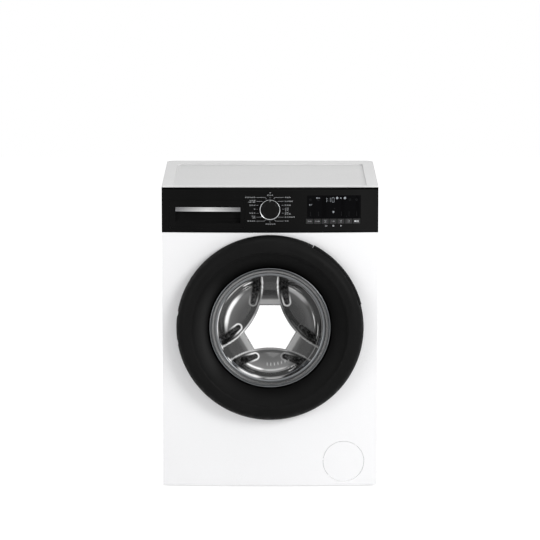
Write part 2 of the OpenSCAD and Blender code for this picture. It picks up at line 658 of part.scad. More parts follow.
module housing_shell() difference() {
    union() {
        block([house_x0, house_y0, house_z0], [house_x1, house_y1, house_z1]);
        translate([fill_x, fill_y, house_z0 - 12]) cylinder(r = 15, h = 14, $fn = 48);
        // inlet spout from the water valve
        forward(house_x1 - 60, house_y1 + 30, house_z1 - spout_drop) cylinder(r = 8, h = 32, $fn = 32);
        // lugs back to the cross brace
        for (x = [house_x0, house_x1 - 12]) block([x, house_y1 - 1, house_z1 - 11], [x + 12, brace_y - brace_w / 2, house_z1]);
    }
    block([house_x0 + house_t, house_y0 - 1, house_z0 + house_t], [house_x1 - house_t, house_y1 - house_t, house_z1 - house_t]);
    translate([fill_x, fill_y, house_z0 - 13]) cylinder(r = 12.5, h = 20, $fn = 48);
    forward(house_x1 - 60, house_y1 + 31, house_z1 - spout_drop) cylinder(r = 6, h = 40, $fn = 32);
}

// ================= door =================
rim_p = 10;                                 // how far forward the ring's widest circle lies
rim_roll = 30;                              // radial size of the roll from rim to crest
land_p = 8;                                 // face that carries the glass and the trim
frame_t = 2.2;
hinge_x = -(ring_r - 25);                   // hinge axis
hinge_p = 30;
arm_z = 40;                                 // height of each hinge arm above and below the middle
arm_h = 12;
arm_t = 8;
leaf_h = 60;
hook_p = -4;                                // pivot of the hook
hook_h = 16;
hook_pin_d = 5;
frame_screws = [10, 50, 90, 130, 155, 205, 250, 290, 330];  // angles of the inner frame's screws
grip_s = 222;                               // handle's pivot, out from the door's middle
grip_p = 26;
grip_pin_d = 5;
grip_span = 78;
ear_in = 70;
pocket_r = ring_r - 16;                     // inner edge of the handle's pocket
pocket_p = 31;

function ring_outer() = concat(
    [[ring_r - 5, 3], [ring_r - 1.5, 5], [ring_r - 0.3, 7.5]],
    oval([ring_r - rim_roll, rim_p], rim_roll, door_proud - rim_p, 0, 90, 14),
    arc([crest_r + 8, door_proud - 8], 8, 90, 128, 4),
    bend([crest_r + 1.5, door_proud - 4.3], [crest_r - 17, door_proud - 25], [window_r, land_p + 7], 12),
    [[window_r, land_p]]);
module ring_envelope() rotate_extrude($fn = 240) polygon(concat(ring_outer(), [[0, land_p], [0, 3]]));
// sector of a revolved outline between two angles
module sector(a0, a1, pts) rotate([0, 0, a0]) rotate_extrude(angle = a1 - a0, $fn = 240) polygon(pts);
module hinge_slots() for (s = [-1, 1])
    translate([hinge_x - 25, s * arm_z - arm_h / 2 - 1.5, -20]) cube([25 + 32, arm_h + 3, 44]);
module door_ring() color([0.08, 0.08, 0.08]) on_door() difference() {
    union() {
        difference() {
            rotate_extrude($fn = 240) polygon(wall(ring_outer(), ring_t));
            // pocket that holds the pull handle
            sector(handle_a - handle_arc / 2 - 0.6, handle_a + handle_arc / 2 + 0.6,
                   [[pocket_r, -5], [ring_r + 5, -5], [ring_r + 5, pocket_p], [pocket_r, pocket_p]]);
        }
        // ears that carry the handle's pin
        intersection() {
            rotate([0, 0, handle_a]) for (s = [-1, 1])
                translate([grip_s - 8, s * (ear_in + 2.5) - 2.5, grip_p - 8]) cube([18, 5, 40]);
            ring_envelope();
        }
        // bosses for the screws that hold the inner frame
        intersection() {
            for (a = frame_screws) rotate([0, 0, a]) translate([234, 0, frame_t + 2.6]) cylinder(d = 9, h = 60, $fn = 32);
            ring_envelope();
        }
    }
    rotate([0, 0, handle_a]) translate([grip_s, -grip_span - 1, grip_p]) rotate([-90, 0, 0])
        cylinder(d = grip_pin_d + 2 * slip, h = 2 * grip_span + 2, $fn = 48);
    hinge_slots();
    for (a = frame_screws) rotate([0, 0, a]) translate([234, 0, 0]) cylinder(d = 3.2, h = 18, $fn = 24);
}
frame_rim_r = ring_r - 8.6;
module door_inner_frame() color("lightgray") on_door() difference() {
    union() {
        rotate_extrude($fn = 180) polygon(wall([
            [window_r - 17, land_p - frame_t], [window_r + 2, land_p - frame_t], [window_r + 5, -8],
            [window_r + 8, -10], [214, -10], [222, -4], [224, 2.5], [frame_rim_r, 2.5]], frame_t));
        for (s = [-1, 1])
            translate([hook_x - 8, s * (hook_h / 2 + 3) - 2.4, -10]) cube([16, 4.8, 12]);
        translate([hook_x, -hook_h / 2 - 4, hook_p]) rotate([-90, 0, 0])
            cylinder(d = hook_pin_d, h = hook_h + 8, $fn = 32);
    }
    hinge_slots();
    difference() {
        translate([hook_x - 12, -hook_h / 2 - 0.6, -15]) cube([26, hook_h + 1.2, 30]);
        translate([hook_x, -hook_h / 2 - 4, hook_p]) rotate([-90, 0, 0])
            cylinder(d = hook_pin_d, h = hook_h + 8, $fn = 32);
    }
    for (a = frame_screws) rotate([0, 0, a]) translate([234, 0, -10]) cylinder(d = 3.6, h = 30, $fn = 24);
}
trim_t = 3;
flange_t = 3;
module door_trim_ring() color("silver") on_door() translate([0, 0, land_p + flange_t]) rotate_extrude($fn = 180)
    polygon([[window_r - 21, 0], [window_r - 0.5, 0], [window_r - 0.5, trim_t], [window_r - 4, trim_t + 1.2],
             [window_r - 16, trim_t - 0.6], [window_r - 21, trim_t - 2.2]]);

// glass bowl: a round rim that turns into a three-pointed nose, with three scooped flanks
rim_r = window_r - 18;                      // bowl's radius at its flange
tip_r = rim_r - 32;                         // and its round flanks at the nose
scoop_r = 210;                              // radius of each scoop's edge on the nose
scoop_back = 230;                           // how far behind the nose the scoops are centred
scoop_ball = sqrt(scoop_r * scoop_r + scoop_back * scoop_back);
nose_p = land_p + 4 - bowl_depth;
// everything on the inner side of one sloped ridge face
module ridge_side(a, inset) {
    s1 = nose_edge - nose_drop * sin(a) - inset;   // at the nose
    s2 = rim_r - 4 - inset;                        // at the flange
    k = (s2 - s1) / (land_p - nose_p);
    rotate([0, 0, a]) rotate([90, 0, 0]) translate([0, 0, -300]) linear_extrude(600)
        polygon([[-300, nose_p - 30], [s1 - 30 * k, nose_p - 30], [s2 + 8 * k, land_p + 8], [-300, land_p + 8]]);
}
module bowl(inset) {
    k = (rim_r - tip_r) / (land_p - nose_p);
    difference() {
        intersection() {
            translate([0, 0, nose_p + inset])
                cylinder(r1 = tip_r - inset + k * inset, r2 = rim_r - inset + 6 * k, h = land_p - nose_p - inset + 6, $fn = 180);
            ridge_side(90, inset);
            ridge_side(210, inset);
            ridge_side(330, inset);
        }
        for (a = [30, 150, 270]) translate([(nose_waist + scoop_r) * cos(a), (nose_waist + scoop_r) * sin(a) - nose_drop,
                                            nose_p - scoop_back]) sphere(r = scoop_ball + inset, $fn = 180);
    }
}
module door_glass() color([0.8, 0.85, 0.88, 0.4]) on_door() difference() {
    union() {
        ring_of(rim_r - glass_t - 2, window_r - 8, land_p, land_p + flange_t, 180);
        intersection() {
            bowl(0);
            translate([0, 0, -100]) cylinder(r = 200, h = 100 + land_p + flange_t, $fn = 64);
        }
    }
    bowl(glass_t);
    translate([0, 0, land_p - eps]) cylinder(r = rim_r - glass_t - 1, h = 20, $fn = 180);
}

// ---- hinge ----
module hinge_bracket() color("silver") on_door() difference() {
    union() {
        translate([hinge_x + 18, -arm_z - 18, -dish_depth]) cube([26, 2 * arm_z + 36, 2.5]);
        // two goosenecks that reach forward into the ring
        for (s = [-1, 1]) translate([0, s * arm_z + arm_h / 2, 0]) rotate([90, 0, 0]) linear_extrude(arm_h) union() {
            polygon(wall(beside(concat([[hinge_x, hinge_p]],
                arc([hinge_x + 16, hinge_p - 8], 8, 90, 0, 8), [[hinge_x + 24, 1 - dish_depth]]), -arm_t / 2), arm_t));
            translate([hinge_x, hinge_p]) circle(d = pin_d + 8, $fn = 48);
        }
    }
    translate([hinge_x, -arm_z - 30, hinge_p]) rotate([-90, 0, 0])
        cylinder(d = pin_d + 2 * slip, h = 2 * arm_z + 60, $fn = 48);
    for (y = [-arm_z - 12, 0, arm_z + 12]) translate([hinge_x + 38, y, -dish_depth - 1]) cylinder(d = 4.5, h = 5, $fn = 24);
}
module hinge_leaf() color("silver") on_door() difference() {
    union() {
        translate([hinge_x, -leaf_h / 2, hinge_p]) rotate([-90, 0, 0]) cylinder(d = pin_d + 8, h = leaf_h, $fn = 48);
        translate([hinge_x, -leaf_h / 2, hinge_p - 6]) cube([34, leaf_h, 3]);
        translate([hinge_x + 31, -leaf_h / 2, frame_t - 10]) cube([3, leaf_h, hinge_p + 7 - frame_t]);
        translate([hinge_x + 31, -leaf_h / 2, frame_t - 10]) cube([22, leaf_h, 2.5]);
    }
    translate([hinge_x, -leaf_h / 2 - 1, hinge_p]) rotate([-90, 0, 0])
        cylinder(d = pin_d + 0.04, h = leaf_h + 2, $fn = 48);
}
module hinge_pin() color("silver") on_door() translate([hinge_x, 0, hinge_p]) rotate([-90, 0, 0]) {
    translate([0, 0, -arm_z - arm_h / 2 - 2]) cylinder(d = pin_d, h = 2 * arm_z + arm_h + 4, $fn = 48);
    translate([0, 0, arm_z + arm_h / 2 + 1]) cylinder(d = pin_d + 4, h = 2.5, $fn = 48);
}

// ---- pull handle and hook ----
module door_handle() color([0.1, 0.1, 0.1]) on_door() difference() {
    union() {
        sector(handle_a - handle_arc / 2, handle_a + handle_arc / 2, [
            [ring_r - 9, 5.4], [ring_r - 2, 5.4], [ring_r + 1.6, 8.5], [ring_r + 2, 12], [ring_r + 1.4, 17],
            [ring_r - 0.4, 23], [ring_r - 2.4, 27.6], [ring_r - 6.5, 27.6], [ring_r - 6.5, 12],
            [ring_r - 15, 12], [ring_r - 15, 9], [ring_r - 9, 9]]);
        rotate([0, 0, handle_a]) {
            // lugs in to the pivot
            for (s = [-1, 1]) translate([grip_s - 4, s * 60 - 3, 9]) cube([25, 6, grip_p - 5]);
            translate([grip_s, -grip_span, grip_p]) rotate([-90, 0, 0]) cylinder(d = grip_pin_d, h = 2 * grip_span, $fn = 48);
        }
    }
    // softened lower corners of the lugs
    rotate([0, 0, handle_a]) for (s = [-1, 1]) translate([grip_s - 10, s * 60 - 4, 0]) cube([16, 8, 15]);
}
module door_hook() color("silver") on_door() translate([0, hook_h / 2, 0]) rotate([90, 0, 0])
    linear_extrude(hook_h) difference() {
        union() {
            translate([hook_x, hook_p]) circle(d = 9, $fn = 32);
            polygon([[hook_x - 4, hook_p], [hook_x - 4, hook_p - 31], [hook_x - 1, hook_p - 34], [hook_x + 3, hook_p - 34],
                     [hook_x + 8, hook_p - 27], [hook_x + 8, hook_p - 25], [hook_x + 4, hook_p - 25], [hook_x + 4, hook_p]]);
        }
        translate([hook_x, hook_p]) circle(d = hook_pin_d + 2 * slip, $fn = 32);
    }
module door_lock() color([0.9, 0.9, 0.88]) on_door() difference() {
    union() {
        translate([hook_x - 16, -38, -dish_depth - sheet_t - 22]) cube([36, 76, 22]);
        translate([hook_x - 10, 38 - eps, -dish_depth - sheet_t - 18]) cube([22, 30, 18]);
    }
    // mouth for the hook
    translate([hook_x - slot_w / 2 + 1, -slot_h / 2, -dish_depth - sheet_t - 19]) cube([slot_w, slot_h, 30]);
}

// ================= drain filter =================
cover_t = 2.5;
cover_r = cover_d / 2;
module filter_cover() color("white") difference() {
    union() {
        intersection() {
            bow_plate(0, cover_t, cover_x - cover_r - 1, cover_x + cover_r + 1, cover_z - cover_r - 1, cover_z + cover_r + 1);
            forward(cover_x, y_front + 20, cover_z) cylinder(d = cover_d, h = 60, $fn = 96);
        }
        // stiffening ring and three snap tongues
        intersection() {
            forward(cover_x, 0, cover_z) ring_of(cover_r - 8, cover_r - 6, 0, 300, 96);
            bow_plate(cover_t - 0.5, cover_t + 4, cover_x - cover_r, cover_x + cover_r, cover_z - cover_r, cover_z + cover_r);
        }
        for (a = [0, 120, 240]) translate([cover_x, 0, cover_z]) rotate([0, -a, 0])
            block([cover_r - 4, bow_y(cover_x + (cover_r - 4) * cos(a)) + 1.2, -7], [cover_r - 2, y_front + 8, 7]);
    }
    // slot for a tool
    forward(cover_x - 43.5, bow_y(cover_x - 43.5) + 1.2, cover_z - 3) cylinder(d = 5, h = 10, $fn = 32);
    forward(cover_x - 43.5, bow_y(cover_x - 43.5) + 1.2, cover_z + 3) cylinder(d = 5, h = 10, $fn = 32);
    block([cover_x - 46, y_mid, cover_z - 3], [cover_x - 41, bow_y(cover_x - 43.5) + 1.2, cover_z + 3]);
}
plug_r = plug_d / 2;
plug_y = y_front + 8.5;                     // front face of the plug's body
mouth_y = y_front + 19;                     // front of the pump's mouth
module pump_filter() color([0.25, 0.25, 0.27]) difference() {
    union() {
        rearward(cover_x, plug_y, cover_z) cylinder(r = plug_r - 1, h = mouth_y - plug_y - 0.2, $fn = 64);
        rearward(cover_x, mouth_y - 1, cover_z) cylinder(r = plug_r - 4 - 0.3, h = 45, $fn = 64);
        block([cover_x - plug_r + 5, plug_y - 6, cover_z - 4], [cover_x + plug_r - 5, plug_y + 1, cover_z + 4]);
    }
    // straining basket
    rearward(cover_x, mouth_y + 12, cover_z) cylinder(r = plug_r - 8, h = 40, $fn = 48);
    for (a = [0:45:135]) translate([cover_x, 0, cover_z]) rotate([0, a, 0])
        block([-40, mouth_y + 16, -4], [40, mouth_y + 38, 4]);
}
sump_x = 172;
sump_y = -90;
pump_y1 = -72;
pump_r = plug_r + 5;
module drain_pump() color([0.85, 0.85, 0.82]) difference() {
    union() {
        rearward(cover_x, mouth_y, cover_z) cylinder(r = pump_r, h = pump_y1 - mouth_y, $fn = 96);
        rearward(cover_x, mouth_y, cover_z) cylinder(r = pump_r + 4, h = 5, $fn = 96);
        // motor at the back
        rearward(cover_x - 4, pump_y1 - 1, cover_z) cylinder(r = 24, h = 42, $fn = 64);
        // inlet from the sump and outlet to the back
        translate([sump_x, sump_y, cover_z]) cylinder(r = 15, h = 48, $fn = 48);
        block([sump_x, sump_y - 13, cover_z - 8], [cover_x, sump_y + 13, cover_z + 8]);
        rearward(drain_x, pump_y1 - 30, drain_z) cylinder(r = 9, h = 55, $fn = 48);
        // feet on the base
        block([cover_x - 22, base_y0 + 3, base_z0 + base_t], [cover_x + 22, base_y0 + beam_w - 6, cover_z - pump_r + 6]);
    }
    rearward(cover_x, mouth_y - 1, cover_z) cylinder(r = plug_r - 4, h = 70, $fn = 64);
    translate([sump_x, sump_y, cover_z + 12]) cylinder(r = 12, h = 60, $fn = 48);
    rearward(drain_x, pump_y1 - 20, drain_z) cylinder(r = 7, h = 60, $fn = 32);
}

// ================= back fittings =================
module inlet_valve() color("white") difference() {
    union() {
        // threaded port and hexagon
        rearward(port_x, y_wall - 3, port_z) cylinder(r = 13.2, h = rear_inset + 3 - 0.5, $fn = 64);
        rearward(port_x, y_wall - sheet_t - 5, port_z) cylinder(r = 21, h = 5, $fn = 64);
        rearward(port_x, y_wall - 40, port_z) cylinder(r = 14, h = 38, $fn = 48);
        block([port_x - 14, y_wall - 40, port_z - 36], [port_x + 14, y_wall - 12, port_z]);
        forward(port_x, y_wall - 38, port_z) cylinder(r = 6, h = 24, $fn = 32);
    }
    rearward(port_x, y_wall - 30, port_z) cylinder(r = 9, h = 60, $fn = 48);
    forward(port_x, y_wall - 20, port_z) cylinder(r = 3.5, h = 60, $fn = 32);
}
module drain_spigot() color([0.3, 0.3, 0.3]) difference() {
    union() {
        rearward(drain_x, y_wall - 34, drain_z) cylinder(r = 9.5, h = 34 + rear_inset - 0.5, $fn = 64);
        rearward(drain_x, y_wall + 4, drain_z) cylinder(r = 10.5, h = 2, $fn = 64);
        rearward(drain_x, y_wall - sheet_t - 4, drain_z) cylinder(r = 18, h = 4, $fn = 64);
    }
    rearward(drain_x, y_wall - 60, drain_z) cylinder(r = 7.5, h = 90, $fn = 48);
}
module mains_gland() color([0.2, 0.2, 0.2]) difference() {
    union() {
        rearward(gland_x, y_wall - 12, gland_z) cylinder(r = 10.6, h = 16, $fn = 48);
        rearward(gland_x, y_wall, gland_z) cylinder(r1 = 14, r2 = 9, h = 10, $fn = 48);
        rearward(gland_x, y_wall - sheet_t - 5, gland_z) cylinder(r = 14, h = 5, $fn = 6);
    }
    rearward(gland_x, y_wall - 20, gland_z) cylinder(r = 4.2, h = 40, $fn = 48);
}
module panel_screws() color("silver") {
    for (x = [-half_w + 14, half_w - 14], z = [80:206:wrap_top - 120]) rearward(x, y_wall, z) {
        cylinder(d = 9, h = 0.8, $fn = 32);
        cylinder(d = 6.5, h = 2.4, $fn = 32);
    }
    for (x = [-half_w + 40, half_w - 40]) rearward(x, y_wall, wrap_top - 8) cylinder(d = 7, h = 2.4, $fn = 32);
}

// ================= tub =================
tub_r = tub_d / 2;
tub_l = drum_l + tub_room;
neck_r = mouth_r - 6;
tub_p0 = -dish_depth - 28.5;                // tub's front face
split_p = tub_p0 - 84;                      // where its two halves meet
tub_p1 = tub_p0 - tub_l;                    // outer face of its back wall
lip_h = 8;
shaft_r = shaft_d / 2;
tail_r = shaft_r - 2.5;
seat1_r = shaft_r + 16;                     // front bearing
seat2_r = shaft_r + 11;                     // back bearing
boss_r = seat1_r + 11;
motor_at = [-50, 112 - door_z];
heater_x = 20;
heater_y = -(tub_r - tub_t - 9.8);
heater_d = 7.2;
damper_top = [122, 200 - door_z];
lug_y = 168;                                // height of the spring lugs above the axis
function y_to_p(y) = y_mid - y;
module tub_front() color([0.75, 0.76, 0.78]) on_door() difference() {
    rotate_extrude($fn = 180) polygon([
        [neck_r, tub_p0 + 8], [neck_r + 4, tub_p0 + 8], [neck_r + 4, tub_p0], [tub_r - 12, tub_p0], [tub_r, tub_p0 - 12],
        [tub_r, split_p + 5], [tub_r + lip_h, split_p + 5], [tub_r + lip_h, split_p], [tub_r - tub_t, split_p],
        [tub_r - tub_t, tub_p0 - 13.5], [tub_r - 13.5, tub_p0 - tub_t], [neck_r, tub_p0 - tub_t]]);
    for (x = [-heater_x, heater_x]) translate([x, heater_y, tub_p0 - 20]) cylinder(d = heater_d + 0.8, h = 40, $fn = 32);
}
// what stands on the tub's outside, cut back to the middle of its wall
module outside_tub() difference() {
    children();
    translate([0, 0, tub_p1 - 50]) cylinder(r = tub_r - tub_t / 2, h = tub_l + 100, $fn = 180);
}
module tub_rear() color([0.75, 0.76, 0.78]) on_door() difference() {
    union() {
        rotate_extrude($fn = 180) polygon([
            [tub_r + lip_h, split_p], [tub_r + lip_h, split_p - 5], [tub_r, split_p - 5], [tub_r, tub_p1 + 12],
            [tub_r - 12, tub_p1], [boss_r, tub_p1], [boss_r, tub_p1 - 28], [seat2_r, tub_p1 - 28],
            [seat2_r, tub_p1 - 13], [seat2_r - 2, tub_p1 - 13], [seat2_r - 2, tub_p1 - 7], [seat1_r, tub_p1 - 7],
            [seat1_r, tub_p1 + 9], [boss_r, tub_p1 + 9], [boss_r, tub_p1 + 5], [tub_r - 13.5, tub_p1 + 5],
            [tub_r - tub_t, tub_p1 + 13.5], [tub_r - tub_t, split_p]]);
        // radial ribs on the back wall
        for (a = [15:30:345]) rotate([0, 0, a]) translate([boss_r - 2, -2, tub_p1 - 11]) cube([tub_r - boss_r - 16, 4, 12]);
        // spring lugs
        mirrored_x() outside_tub() translate([spring_x - 28, lug_y, y_to_p(brace_y) - 14]) cube([42, 8, 28]);
        // motor cradle
        for (s = [-1, 1]) outside_tub()
            translate([motor_at[0] + (s > 0 ? 30.5 : -36.5), motor_at[1] + 50, tub_p1 + 40]) cube([6, 50, 60]);
        // damper ears and their pins
        mirrored_x() for (y = [damper_y - 17, damper_y + 14]) outside_tub()
            translate([damper_top[0] - 13, damper_top[1] - 12, y_to_p(y) - 3]) cube([26, 50, 3]);
        mirrored_x() translate([damper_top[0], damper_top[1], y_to_p(damper_y) - 16.5])
            cylinder(d = damper_pin_d, h = 33, $fn = 32);
        // filler neck and sump neck
        outside_tub() translate([fill_x, 210, y_to_p(fill_y)]) rotate([-90, 0, 0]) cylinder(r = 15, h = fill_bottom - door_z - 210, $fn = 48);
        outside_tub() translate([sump_x, sump_bottom - door_z, y_to_p(sump_y)]) rotate([-90, 0, 0]) cylinder(r = 15, h = 36, $fn = 48);
    }
    mirrored_x() translate([spring_x, lug_y - 5, y_to_p(brace_y)]) rotate([-90, 0, 0]) cylinder(d = spring_hole, h = 20, $fn = 32);
    translate([fill_x, 200, y_to_p(fill_y)]) rotate([-90, 0, 0]) cylinder(r = 11.5, h = 60, $fn = 48);
    translate([sump_x, -240, y_to_p(sump_y)]) rotate([-90, 0, 0]) cylinder(r = 12, h = 60, $fn = 48);
}
weight_t = 20;
module counterweights() color([0.6, 0.6, 0.58]) on_door() union() {
    for (a = [[52, 128], [200, 252], [288, 340]])
        sector(a[0], a[1], [[182, tub_p0], [tub_r - 16, tub_p0], [tub_r - 13, tub_p0 + 6],
                            [tub_r - 13, tub_p0 + weight_t - 4], [tub_r - 18, tub_p0 + weight_t],
                            [188, tub_p0 + weight_t], [182, tub_p0 + weight_t - 6]]);
    // upper block on its saddle
    difference() {
        translate([-96, tub_r - 35, tub_p1 + 18]) cube([192, 80, 84]);
        translate([0, 0, tub_p1 + 17]) cylinder(r = tub_r + 0.05, h = 90, $fn = 180);
        mirrored_x() translate([96, tub_r + 45, tub_p1 + 17]) rotate([0, 0, 45]) cube([36, 36, 180], center = true);
    }
}
motor_r = 58;
motor_p1 = tub_p1 - 12;
motor_p0 = motor_p1 + 150;
motor_shaft_r = 6;
module motor() color([0.45, 0.45, 0.47]) on_door() translate([motor_at[0], motor_at[1], 0]) difference() {
    union() {
        rotate_extrude($fn = 96) polygon([
            [0, motor_p1], [22, motor_p1], [24, motor_p1 + 4], [motor_r - 12, motor_p1 + 8], [motor_r - 4, motor_p1 + 20],
            [motor_r - 4, motor_p1 + 44], [motor_r, motor_p1 + 46], [motor_r, motor_p0 - 46],
            [motor_r - 4, motor_p0 - 44], [motor_r - 4, motor_p0 - 20], [motor_r - 14, motor_p0 - 8], [18, motor_p0], [0, motor_p0]]);
        translate([-30.5, 20, tub_p1 + 42]) cube([61, 56, 56]);
    }
    translate([0, 0, motor_p1 - 1]) cylinder(r = motor_shaft_r + slip, h = 40, $fn = 48);
    // cooling slots
    for (a = [200:20:340]) rotate([0, 0, a]) translate([motor_r - 14, -3, motor_p1 + 22]) cube([20, 6, 18]);
}
pulley_r = pulley_d / 2;
pulley_p = tub_p1 - 54;                     // back face of both belt pulleys
pulley_w = 14;
belt_w = 10;
belt_t = 2.6;
belt_gap = 0.3;
// outline of a belt pulley's rim, from radius a out to the belt's seat
function pulley_rim(a, r) = [[a, 0], [r + 1.5, 0], [r + 1.5, 1.4], [r, 1.6], [r, pulley_w - 1.6],
                             [r + 1.5, pulley_w - 1.4], [r + 1.5, pulley_w], [a, pulley_w]];
module drum_pulley() color("silver") on_door() translate([0, 0, pulley_p]) difference() {
    union() {
        rotate_extrude($fn = 180) polygon(pulley_rim(pulley_r - 6, pulley_r));
        for (a = [90:72:378]) rotate([0, 0, a]) {
            translate([10, -11, 3]) cube([pulley_r - 14, 22, 3]);
            translate([10, -2, 3]) cube([pulley_r - 14, 4, 9]);
        }
        cylinder(r = 24, h = pulley_w, $fn = 64);
    }
    translate([0, 0, -1]) cylinder(r = tail_r + 0.02, h = pulley_w + 2, $fn = 64);
}
module motor_pulley() color("silver") on_door() translate([motor_at[0], motor_at[1], pulley_p]) union() {
    rotate_extrude($fn = 96) polygon(pulley_rim(0, motor_pulley_d / 2));
    cylinder(r = motor_shaft_r, h = motor_p1 - pulley_p + 36, $fn = 48);
}
module belt_loop(grow) hull() {
    circle(r = pulley_r + grow, $fn = 120);
    translate(motor_at) circle(r = motor_pulley_d / 2 + grow, $fn = 40);
}
module drive_belt() color([0.1, 0.1, 0.1]) on_door() translate([0, 0, pulley_p + (pulley_w - belt_w) / 2])
    linear_extrude(belt_w) difference() {
        belt_loop(belt_gap + belt_t);
        belt_loop(belt_gap);
    }
module heater() color("silver") on_door() {
    end_p = tub_p0 - 210;
    for (x = [-heater_x, heater_x]) translate([x, heater_y, end_p]) cylinder(d = heater_d, h = tub_p0 + 14 - end_p, $fn = 32);
    translate([0, heater_y, end_p]) rotate([90, 0, 0]) rotate([0, 0, 180]) rotate_extrude(angle = 180, $fn = 48)
        translate([heater_x, 0]) circle(d = heater_d, $fn = 24);
    translate([-heater_x - 14, heater_y - 2, tub_p0]) cube([2 * heater_x + 28, 12, 3]);
}
// closed ball bearing between two radii
module bearing(ri, ro, w) rotate_extrude($fn = 96)
    polygon([[ri, 0], [ri + 3, 0], [ri + 3.4, 0.8], [ro - 3.4, 0.8], [ro - 3, 0], [ro, 0],
             [ro, w], [ro - 3, w], [ro - 3.4, w - 0.8], [ri + 3.4, w - 0.8], [ri + 3, w], [ri, w]]);
module drum_bearings() color("silver") on_door() {
    translate([0, 0, tub_p1 - 7]) bearing(shaft_r + slip, seat1_r - 0.03, 16);
    translate([0, 0, tub_p1 - 28]) bearing(tail_r + slip, seat2_r - 0.03, 15);
}

// ================= drum =================
drum_r = drum_d / 2;
drum_p0 = tub_p0 - 38;                      // drum's front
drum_p1 = drum_p0 - drum_l;                 // and its back
drum_in = drum_r - drum_t;
drum_mouth = neck_r - 4;
hole_rows = 7;
holes_round = 24;
module drum_shell() color("silver") on_door() difference() {
    rotate_extrude($fn = 180) polygon(wall([
        [drum_mouth, drum_p0 - 14], [drum_mouth + 1, drum_p0 - 5], [drum_mouth + 6, drum_p0 - drum_t],
        [drum_in - 12, drum_p0 - drum_t], [drum_in - 3, drum_p0 - 5], [drum_in, drum_p0 - 13],
        [drum_in, drum_p1 + 12], [drum_in - 4, drum_p1 + 4], [drum_in - 12, drum_p1 + drum_t],
        [96, drum_p1 + drum_t], [84, drum_p1 + 9], [0, drum_p1 + 9]], drum_t));
    // rows of holes
    for (j = [0:hole_rows - 1], i = [0:holes_round - 1])
        rotate([0, 0, (i + (j % 2) / 2) * 360 / holes_round])
            translate([drum_r - 6, 0, drum_p1 + 40 + j * (drum_l - 80) / (hole_rows - 1)])
                rotate([0, 90, 0]) cylinder(d = hole_d, h = 12, $fn = 16);
}
lifter_l = drum_l - 70;
module drum_lifters() color([0.8, 0.8, 0.82]) on_door() intersection() {
    for (a = [90, 210, 330]) rotate([0, 0, a]) translate([0, 0, drum_p1 + 30]) linear_extrude(lifter_l)
        polygon(concat([[drum_r, -38], [drum_r, 38], [drum_in - 8, 34]],
                       arc([drum_in - 46, 0], 11, 60, 300, 10), [[drum_in - 8, -34]]));
    translate([0, 0, drum_p1]) cylinder(r = drum_in - 0.02, h = drum_l, $fn = 180);
}
spider_t = 14;
module drum_spider() color([0.6, 0.6, 0.62]) on_door() union() {
    for (a = [30, 150, 270]) rotate([0, 0, a]) {
        translate([0, 0, drum_p1 - spider_t]) linear_extrude(4) polygon([[0, -34], [drum_in - 14, -13], [drum_in - 14, 13], [0, 34]]);
        for (s = [-1, 1]) translate([0, 0, drum_p1 - spider_t]) linear_extrude(spider_t - 0.02)
            polygon([[20, s * 32.2], [drum_in - 14, s * 13], [drum_in - 14, s * 9], [20, s * 27.6]]);
    }
    translate([0, 0, drum_p1 - spider_t]) cylinder(r = 36, h = spider_t + 7, $fn = 64);
    translate([0, 0, tub_p1 - 7]) cylinder(r = shaft_r, h = drum_p1 - tub_p1, $fn = 64);
    translate([0, 0, tub_p1 - 62]) cylinder(r = tail_r, h = 60, $fn = 64);
    translate([0, 0, pulley_p - 7]) cylinder(r = 18, h = 6.8, $fn = 6);
}

// ================= soft and sprung pieces of the suspension =================
bellows_t = 2;
module door_gasket() color([0.45, 0.46, 0.48]) on_door() {
    dp = -dish_depth;
    // lip on the glass, bellows, and the seat on the tub's neck
    rotate_extrude($fn = 144) polygon(wall([
        [rim_r - 8, dp + 6], [rim_r - 1, dp + 4.5], [mouth_r - 8, dp + 1.5], [mouth_r - 4, dp - 3], [mouth_r - 3, dp - 9],
        [mouth_r - 12, dp - 13], [mouth_r - 14, dp - 15.5], [mouth_r - 11, dp - 17], [mouth_r - 1.5, dp - 15],
        [mouth_r - 1.6, dp - 20], [mouth_r - 1.6, dp - 26]], bellows_t));
    // groove that grips the collar round the mouth
    rotate_extrude($fn = 144) polygon([[mouth_r - 6, dp + 3.6], [mouth_r + 5, dp + 3], [mouth_r + 5, dp + 0.2],
        [mouth_r - 0.2, dp + 0.2], [mouth_r - 0.2, dp - dish_lip + 1], [mouth_r - 3.4, dp - dish_lip + 1], [mouth_r - 5, dp - 2]]);
}
// rubber tube with folds, standing on z
module bellows(r, h, n) rotate_extrude($fn = 48) polygon(wall(concat([[r, 0]],
    [for (i = [0:n - 1]) each [[r, 6 + (h - 12) * i / n], [r + 3, 6 + (h - 12) * (i + 0.5) / n]]], [[r, h - 6], [r, h]]), 1.8));
pump_top = cover_z + 48;
sump_bottom = door_z - tub_r + 37;
fill_bottom = door_z + tub_r - 9;
module sump_hose() color([0.15, 0.15, 0.15])
    translate([sump_x, sump_y, pump_top - 8]) bellows(17.1, sump_bottom + 8 - pump_top + 8, 8);
module fill_hose() color([0.15, 0.15, 0.15])
    translate([fill_x, fill_y, fill_bottom - 6]) bellows(17.1, house_z0 - 1 - fill_bottom + 6, 2);
drain_x = cover_x + 23.5;
drain_z = 108;
module drain_hose() color([0.3, 0.3, 0.3])
    translate([drain_x, pump_y1 + 16, drain_z]) rotate([-90, 0, 0]) bellows(11.4, y_wall - 26 - pump_y1 - 16, 24);

// ---- springs ----
coil_r = 15;
coil_turns = 8;
coil_steps = 10;
spring_z0 = door_z + lug_y - 4;             // lower end, under the tub's lug
spring_z1 = brace_top - brace_h + 6;        // upper end, over the brace
coil_z0 = spring_z0 + 30;
coil_z1 = spring_z1 - 26;
